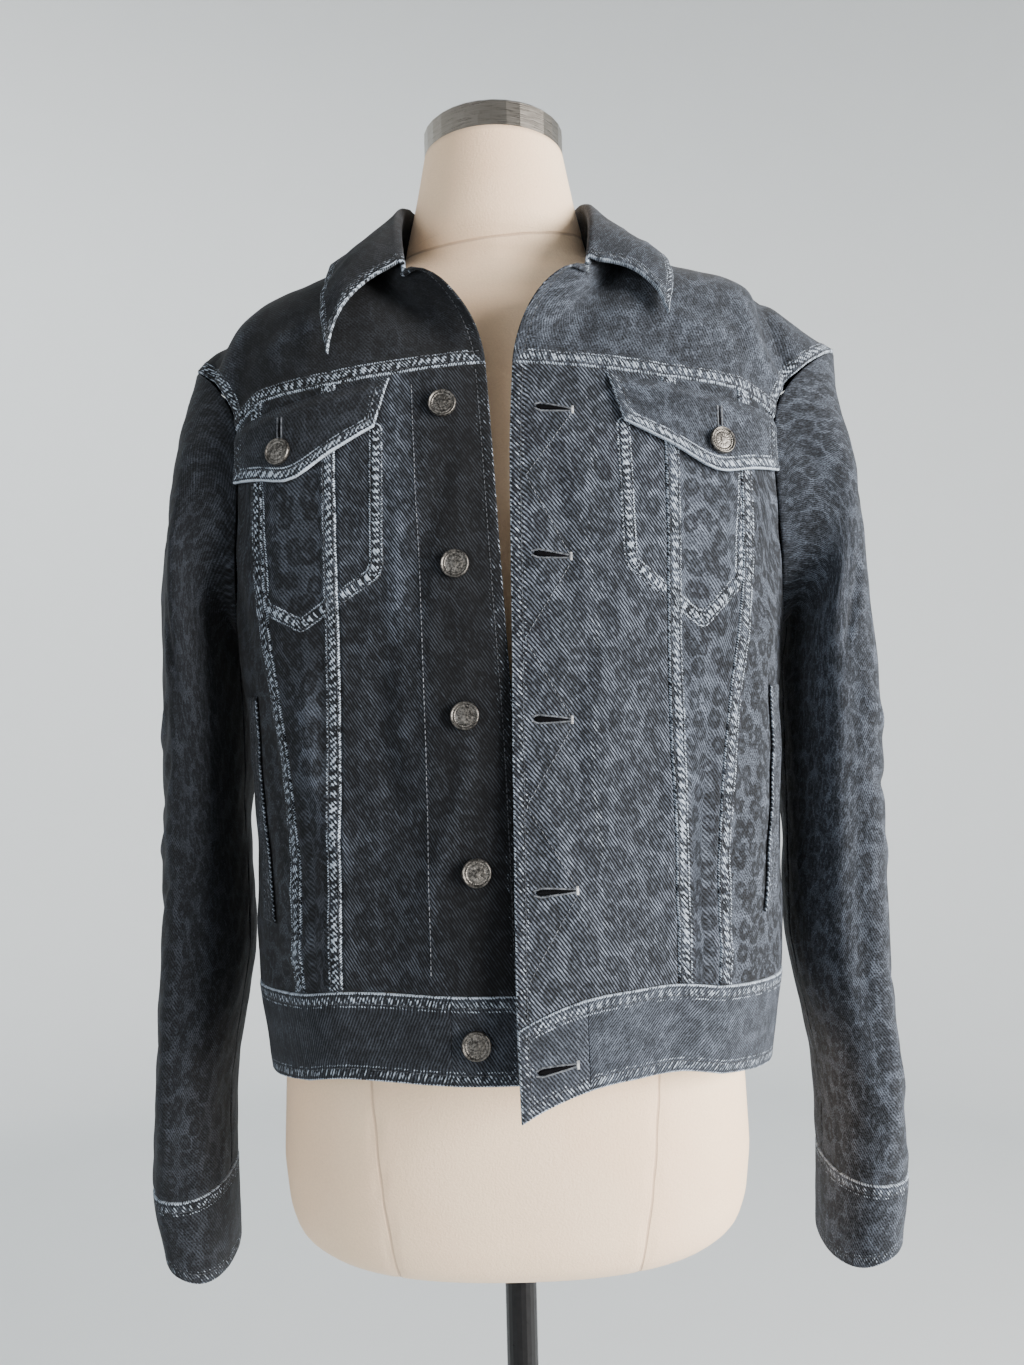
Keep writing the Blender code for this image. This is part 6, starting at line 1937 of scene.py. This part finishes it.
def holeShape(share):
    # Half the opening's width along a buttonhole: widest near its outer end, closing towards the tack.
    return np.clip(share / 0.16, 0.25, 1) ** 0.5 * (1.0 - 0.72 * share ** 1.3)


def lensMesh(name, runs, wide, proud, material):
    # Flat pointed slits, each along a run of places with normals: near-black sheets that paint the shade
    # inside each buttonhole's opening.
    points, faces = [], []
    for places, facing in runs:
        count, base = len(places), len(points)
        run = unit(np.gradient(places, axis=0))
        side = unit(np.cross(run, facing))
        points.append(places[0] - facing[0] * 0.0003)
        for k in range(1, count - 1):
            half = wide * holeShape(k / (count - 1))
            points += [
                places[k] + side[k] * half, places[k] + facing[k] * proud,
                places[k] - side[k] * half, places[k] - facing[k] * 0.0006,
            ]
        points.append(places[-1] - facing[-1] * 0.0003)
        for c in range(4):
            after = (c + 1) % 4
            faces.append((base, base + 1 + c, base + 1 + after))
            for k in range(count - 3):
                low, high = base + 1 + 4 * k, base + 5 + 4 * k
                faces.append((low + c, high + c, high + after, low + after))
            last = base + 1 + 4 * (count - 3)
            faces.append((last + c, last + 4, last + after))
    return outwardFaces(makeMesh(name, np.array(points), faces, material))


def barRow(places, facing, length, pitch):
    # Thread bars set across a line of points, as in a buttonhole.
    along = alongLine(places)
    at = np.linspace(0, along[-1], max(int(along[-1] / pitch), 1) + 1)
    middle, normal = readLine(along, places, at), unit(readLine(along, facing, at))
    side = unit(np.cross(unit(np.gradient(middle, axis=0)), normal))
    return np.stack([middle, middle - side * length / 2, middle + side * length / 2, normal], axis=1)


frontPieces = ("front_centre_", "front_mid_", "front_side_", "front_yoke_", "waistband_tab_")
pocketRowsOff = (-0.0034, 0.0034)
underFlap = 1.3060


def sewFrontRows(side, letter, tree):
    # The pocket's double row, left out where the flap hides it, and the placket's rows.
    pocketRows = [offsetLine(pocketOutlines[letter], off) for off in pocketRowsOff]
    for corners in pocketRows + list(placketLines[letter]):
        onPocket = corners in pocketRows
        line = linePoints(corners)
        line = line[line[:, 1] < underFlap] if onPocket else line
        breaks = np.nonzero(np.linalg.norm(np.diff(line, axis=0), axis=1) > 0.005)[0] + 1
        for part in np.split(line, breaks):
            if len(part) > 3:
                places, facing = onFront(side, tree, part[:, 0], part[:, 1])
                stitches["trim" if onPocket else "placket"].append(strand(places, facing))


def sewFrontHoles(tree):
    # Each buttonhole's thread along both lips, and a light tack at its inner end.
    look, slits = holeLook, []
    for hole in buttonHoles:
        for lift in (-look["barLift"], look["barLift"]):
            x = np.linspace(hole.start, hole.start + hole.length, 14)
            z = hole.height + hole.tilt * np.linspace(-1, 1, 14) + lift * holeShape(np.linspace(0.0, 1.0, 14))
            places, facing = onFront(leftSide, tree, x, z)
            stitches["bars"].append(barRow(places, facing, look["bar"], look["barPitch"]))
        x = np.linspace(hole.start, hole.start + hole.length, 12)
        slits.append(onFront(leftSide, tree, x, hole.height + hole.tilt * np.linspace(-1, 1, 12)))
        x = np.full(6, hole.start + hole.length + look["tackAfter"])
        middle = hole.height + hole.tilt
        z = np.linspace(middle - look["tack"], middle + look["tack"], 6)
        stitches["tacks"].append(barRow(*onFront(leftSide, tree, x, z), look["tack"], look["tackPitch"]))
    return slits


def sewFlapHole(side, tree):
    low, high = holeLook["flapHole"]
    x, heights = np.full(10, flapButton.x), np.linspace(flapButton.height + low, flapButton.height + high, 10)
    for lift in (-holeLook["flapLift"], holeLook["flapLift"]):
        places, facing = onFront(side, tree, x + lift, heights)
        stitches["bars"].append(barRow(places, facing, holeLook["flapBar"], holeLook["barPitch"]))
    return onFront(side, tree, x, heights)


def makeFrontStitching():
    # Pocket rows, placket rows and buttonholes: near-black slits painting the shade in each opening, thread
    # round them, light tacks at their ends.
    for side, letter in sides:
        tree = surfaceTree([name + letter for name in frontPieces])
        sewFrontRows(side, letter, tree)
    pieces = [("buttonholes_front", sewFrontHoles(tree), holeLook["wide"])]
    for side, letter in sides:
        slit = sewFlapHole(side, surfaceTree(["flap_" + letter]))
        pieces.append(("buttonhole_flap_" + letter, [slit], holeLook["flapWide"]))
    for name, runs, wide in pieces:
        slit = lensMesh(name, runs, wide, holeLook["proud"], slitShade)
        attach(slit, "root")
    print("front stitching made")


buttonLook = {
    "radius": 0.0085, "height": 0.0034, "clear": 0.0002,
    "beads": 30, "rope": 0.07, "ropeAt": 0.735, "ropeWidth": 0.045,
    "rays": 16, "ray": 0.030, "rayAt": 0.40, "rayWidth": 0.13,
}
# The front's profile from the centre out, as shares of the radius and of the height
buttonProfile = (
    (0.0, 0.85), (0.06, 0.86), (0.14, 0.87), (0.20, 0.86), (0.24, 0.82), (0.28, 0.80), (0.34, 0.80),
    (0.42, 0.79), (0.50, 0.78), (0.56, 0.76), (0.60, 0.71), (0.64, 0.69), (0.67, 0.72), (0.70, 0.78),
    (0.735, 0.81), (0.77, 0.78), (0.80, 0.72), (0.825, 0.70), (0.85, 0.86), (0.89, 0.97), (0.935, 0.98),
    (0.975, 0.88), (0.995, 0.70), (1.0, 0.45), (0.985, 0.20), (0.94, 0.04), (0.90, 0.0), (0.0, 0.0),
)


def buttonShape(name):
    look = buttonLook
    profile = [(look["radius"] * across, look["height"] * up) for across, up in buttonProfile]

    def wave(radius, angles):
        share = radius / look["radius"]
        rope = look["rope"] * np.cos(look["beads"] * angles) * bell(share - look["ropeAt"], look["ropeWidth"])
        rays = look["ray"] * np.cos(look["rays"] * angles) * bell(share - look["rayAt"], look["rayWidth"])
        return look["height"] * (rope + rays)

    return turnedMesh(name, profile, 120, buttonMetal, wave)


def placeButton(name, place, facing, turn):
    button = buttonShape("metal_" + name)
    rotation = Vector(facing).to_track_quat("Z", "Y").to_matrix().to_4x4()
    place = Vector(place) + Vector(facing) * buttonLook["clear"]
    button.data.transform(Matrix.Translation(place) @ rotation @ Matrix.Rotation(turn, 4, "Z"))
    dressed[name] = {"piece": button}


def makeButtons():
    for number, button in enumerate(frontButtons, 1):
        names = ["front_centre_r", "front_mid_r"] if button.height > bandFront else ["waistband_tab_r"]
        places, facing = onFront(rightSide, surfaceTree(names), [button.x], [button.height])
        placeButton(f"button_front_{number}", places[0], facing[0], 0.3 * number)
    for side, letter in sides:
        places, facing = onFront(side, surfaceTree(["flap_" + letter]), [flapButton.x], [flapButton.height])
        placeButton("button_flap_" + letter, places[0], facing[0], 0.5 + side)
        place, out = (Vector(each) for each in cuffButtonSeat(side))
        hit, normal = surfaceTree(["cuff_" + letter]).ray_cast(place + out * 0.02, -out, 0.05)[:2]
        if hit is None:
            hit, normal = place, out
        placeButton("button_cuff_" + letter, hit, normal if normal.dot(out) > 0 else -normal, 0.2)
    print("buttons made")


formLook = {
    "sides": 240, "rows": 190, "seamDepth": 0.0010, "seamWidth": 0.0016, "ringGap": 0.004, "soft": 0.006,
    "neckSeam": 1.4640, "neckDip": 0.20, "neckLean": 0.09,
}
# How far from the centre the princess seams run
princessLine = tableOf("height x", (
    (0.79, 0.074), (0.86, 0.084), (0.95, 0.092), (1.06, 0.072), (1.20, 0.088), (1.40, 0.075),
))


FormRow = namedtuple("FormRow", "key height half front back square")


def makeForm():
    rings = formRings()
    steps = [abs(b.height - a.height) + formLook["ringGap"] for a, b in zip(rings[:-1], rings[1:])]
    table = [FormRow(key, *ring) for key, ring in zip(np.concatenate([[0], np.cumsum(steps)]), rings)]
    at = np.linspace(table[0].key, table[-1].key, formLook["rows"])[:, None]
    angles = (np.arange(formLook["sides"]) * 2 * math.pi / formLook["sides"])[None, :]
    sine, cosine = np.sin(angles), np.cos(angles)
    height, half, front, back, square = (
        linearRead(table, name, at) for name in ("height", "half", "front", "back", "square")
    )
    reach = (np.abs(sine) ** square + np.abs(cosine) ** square) ** (-1 / square)
    depth = np.where(cosine > 0, front, back)
    outer = point(half * reach * sine, -depth * reach * cosine, height + 0 * sine)
    lines = formSeams(outer)
    sunk = sum(bell(off, formLook["seamWidth"]) for off in lines.values())
    outward = unit(outer * np.array([1.0, 1.0, 0.0]))
    outer = outer - outward * (formLook["seamDepth"] * np.clip(sunk, 0, 1))[..., None]
    values = {name: off.reshape(-1) for name, off in lines.items()}
    faces = ringFaces(outer.shape[0], outer.shape[1])
    form = outwardFaces(makeMesh("form_torso_cover", outer.reshape(-1, 3), faces, formCloth, values))
    dressed["form_torso"] = {"piece": form}
    print("form made")


def ringFaces(rows, sides, closedTop=True):
    # Faces of rings that close round, with a face over the first ring and, if closed, the last.
    index = np.arange(rows * sides).reshape(rows, sides)
    faces = list(quadFaces(np.concatenate([index, index[:, :1]], axis=1))) + [index[0][::-1]]
    return faces + [index[-1]] if closedTop else faces


def linearRead(table, name, at):
    # A column of the form's table read straight, and softened away from its ends.
    keys = np.array([row.key for row in table])
    values = np.array([getattr(row, name) for row in table])
    fine, soft = np.interp(at, keys, values), formLook["soft"]
    shifts = (-soft, -soft / 2, soft / 2, soft)
    softened = sum(np.interp(at + shift, keys, values) for shift in shifts) / len(shifts)
    within = (at > keys[0] + 2 * soft) & (at < keys[-1] - 2 * soft)
    return np.where(within, (fine + 2 * softened) / 3, fine)


def formSeams(points):
    # Distances from the princess seams, the centre back, the side seams and the neck-base seam.
    x, y, z = points[..., 0], points[..., 1], points[..., 2]
    line = np.interp(z, [row.height for row in princessLine], [row.x for row in princessLine])
    neckBase = formLook["neckSeam"] + formLook["neckDip"] * np.clip(y, -0.06, 0.02) + formLook["neckLean"] * x
    body, elsewhere = (z < 1.515) & (z > 0.785), 0.05
    return {
        "offPrincess": np.where(body & (z < 1.46), np.abs(x) - line, elsewhere),
        "offBack": np.where(body & (y > 0), x, elsewhere),
        "offSide": np.where(body & (z < 1.40), y, elsewhere),
        "offNeck": np.where(body & (z > 1.44), z - neckBase, elsewhere),
    }


def finishStand():
    for name, material in (("form_neck_cap", steel), ("stand_pole", blackMetal), ("stand_base", blackMetal)):
        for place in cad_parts[name].material_slots:
            place.material = material


roomLook = {
    "wall": (0.695, 0.725, 0.740, 1.0),
    "near": (0.400, 0.405, 0.410, 1.0),
    "nearFrom": (-2.2, 0.6),
    "mottle": 0.08,
    "mottleScale": 8.0,
    "distance": 2.9,
    "bend": 0.7,
    "height": 5.0,
    "sides": 96,
    "ambient": (0.86, 0.93, 1.0, 1.0),
    "ambientStrength": 0.16,
}
lights = tableOf("name place target size power colour", (
    ("key", (2.15, -1.10, 1.35), (0.0, 0.0, 1.15), (1.2, 1.7), 215.0, (1.0, 0.965, 0.925)),
    ("fill", (-1.7, -1.7, 1.2), (0.0, 0.0, 1.10), (1.4, 1.6), 21.0, (0.90, 0.95, 1.0)),
    ("wall", (-0.9, 0.80, 2.8), (-0.9, 2.9, 1.2), (2.2, 0.5), 27.0, (0.95, 0.99, 1.0)),
))


def makeRoomPaint():
    look = roomLook
    made, b, shader = newMaterial("room_paint", {"Roughness": 0.9})
    place = b.place()
    fine = useGroup(b, grain, Place=place, Scale=look["mottleScale"])["Fine"]
    axes = b.node("ShaderNodeSeparateXYZ")
    b.join(place, axes.inputs[0])
    nearer = b.ramp(axes.outputs[1], *look["nearFrom"], 1.0, 0.0)
    mottled = b.timesPlus(fine, look["mottle"], nearer, clamp=True)
    b.join(b.mix(mottled, look["wall"], look["near"]), shader.inputs["Base Color"])
    return made


def makeRoom():
    # A round room: floor, curved foot and wall.
    sides, radius, bend = roomLook["sides"], roomLook["distance"], roomLook["bend"]
    profile = [(0.02, 0.0), (radius - bend, 0.0)]
    for angle in (math.radians(90 * k / 12) for k in range(1, 13)):
        profile.append((radius - bend + bend * math.sin(angle), bend - bend * math.cos(angle)))
    profile.append((radius, roomLook["height"]))
    angles = np.arange(sides) * 2 * math.pi / sides
    points = np.concatenate([point(r * np.cos(angles), r * np.sin(angles), h - 0.0005) for r, h in profile])
    room = makeMesh("room", points, ringFaces(len(profile), sides, False), makeRoomPaint())
    world = bpy.data.worlds.new("room_light")
    world.use_nodes = True
    world.node_tree.nodes["Background"].inputs[0].default_value = roomLook["ambient"]
    world.node_tree.nodes["Background"].inputs[1].default_value = roomLook["ambientStrength"]
    bpy.context.scene.world = world


def makeLights():
    for each in lights:
        light = bpy.data.lights.new(each.name, "AREA")
        light.shape = "RECTANGLE"
        light.size, light.size_y = each.size
        light.energy = each.power
        light.color = each.colour
        lamp = bpy.data.objects.new(each.name, light)
        lamp.location = each.place
        lamp.rotation_mode = "QUATERNION"
        lamp.rotation_quaternion = (Vector(each.target) - Vector(each.place)).to_track_quat("-Z", "Y")
        lamp.visible_camera = False
        bpy.context.scene.collection.objects.link(lamp)


cameraLook = {"focal": 1020.0, "place": (0.004, -0.72, 1.16), "roll": 1.4, "pixelsHigh": 1365, "sensor": 36.0}


def makeCamera():
    camera = bpy.data.cameras.new("camera")
    camera.sensor_width = cameraLook["sensor"]
    camera.lens = cameraLook["focal"] / cameraLook["pixelsHigh"] * cameraLook["sensor"]
    camera.clip_start = 0.02
    holder = bpy.data.objects.new("camera", camera)
    holder.location = cameraLook["place"]
    level = Matrix.Rotation(math.radians(90), 3, "X")
    holder.rotation_euler = (level @ Matrix.Rotation(math.radians(-cameraLook["roll"]), 3, "Z")).to_euler()
    bpy.context.scene.collection.objects.link(holder)
    bpy.context.scene.camera = holder


def declareCloth():
    # The size that each piece was cut to, along and across its own grid.
    for name, got in dressed.items():
        if "grid" not in got:
            continue
        grid = got["grid"]
        width = math.ceil(grid["sU"][:, -1].max() * 1000) / 1000
        length = math.ceil(grid["sV"][-1, :].max() * 1000) / 1000
        points = grid["points"]
        across = points[:-1, 1:] - points[:-1, :-1]
        along = points[1:, :-1] - points[:-1, :-1]
        area = float(np.linalg.norm(np.cross(across, along), axis=-1).sum())
        area = max(min(area, width * length), 0.31 * width * length)
        print("sheet", name, width, length, round(area, 4), len(got["piece"].data.polygons))


makeBody()
makeBack()
makeBand()
makeSleeves()
makeFlaps()
makeWelts()
makePocketBags()
makeCollar()
makeFrontStitching()
makeButtons()
makeForm()
finishStand()
threads = {"placket": holeThread, "tacks": tackThread, "bars": holeThread}
for key, places in stitches.items():
    sewn = stitchMesh("stitches_" + key, places, threads.get(key, thread))
    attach(sewn, "root")
    print("stitches", key, len(sewn.data.polygons))

for name, got in dressed.items():
    piece = got["piece"]
    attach(piece, "root")
    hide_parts(name)
declareCloth()
makeRoom()
makeLights()
makeCamera()
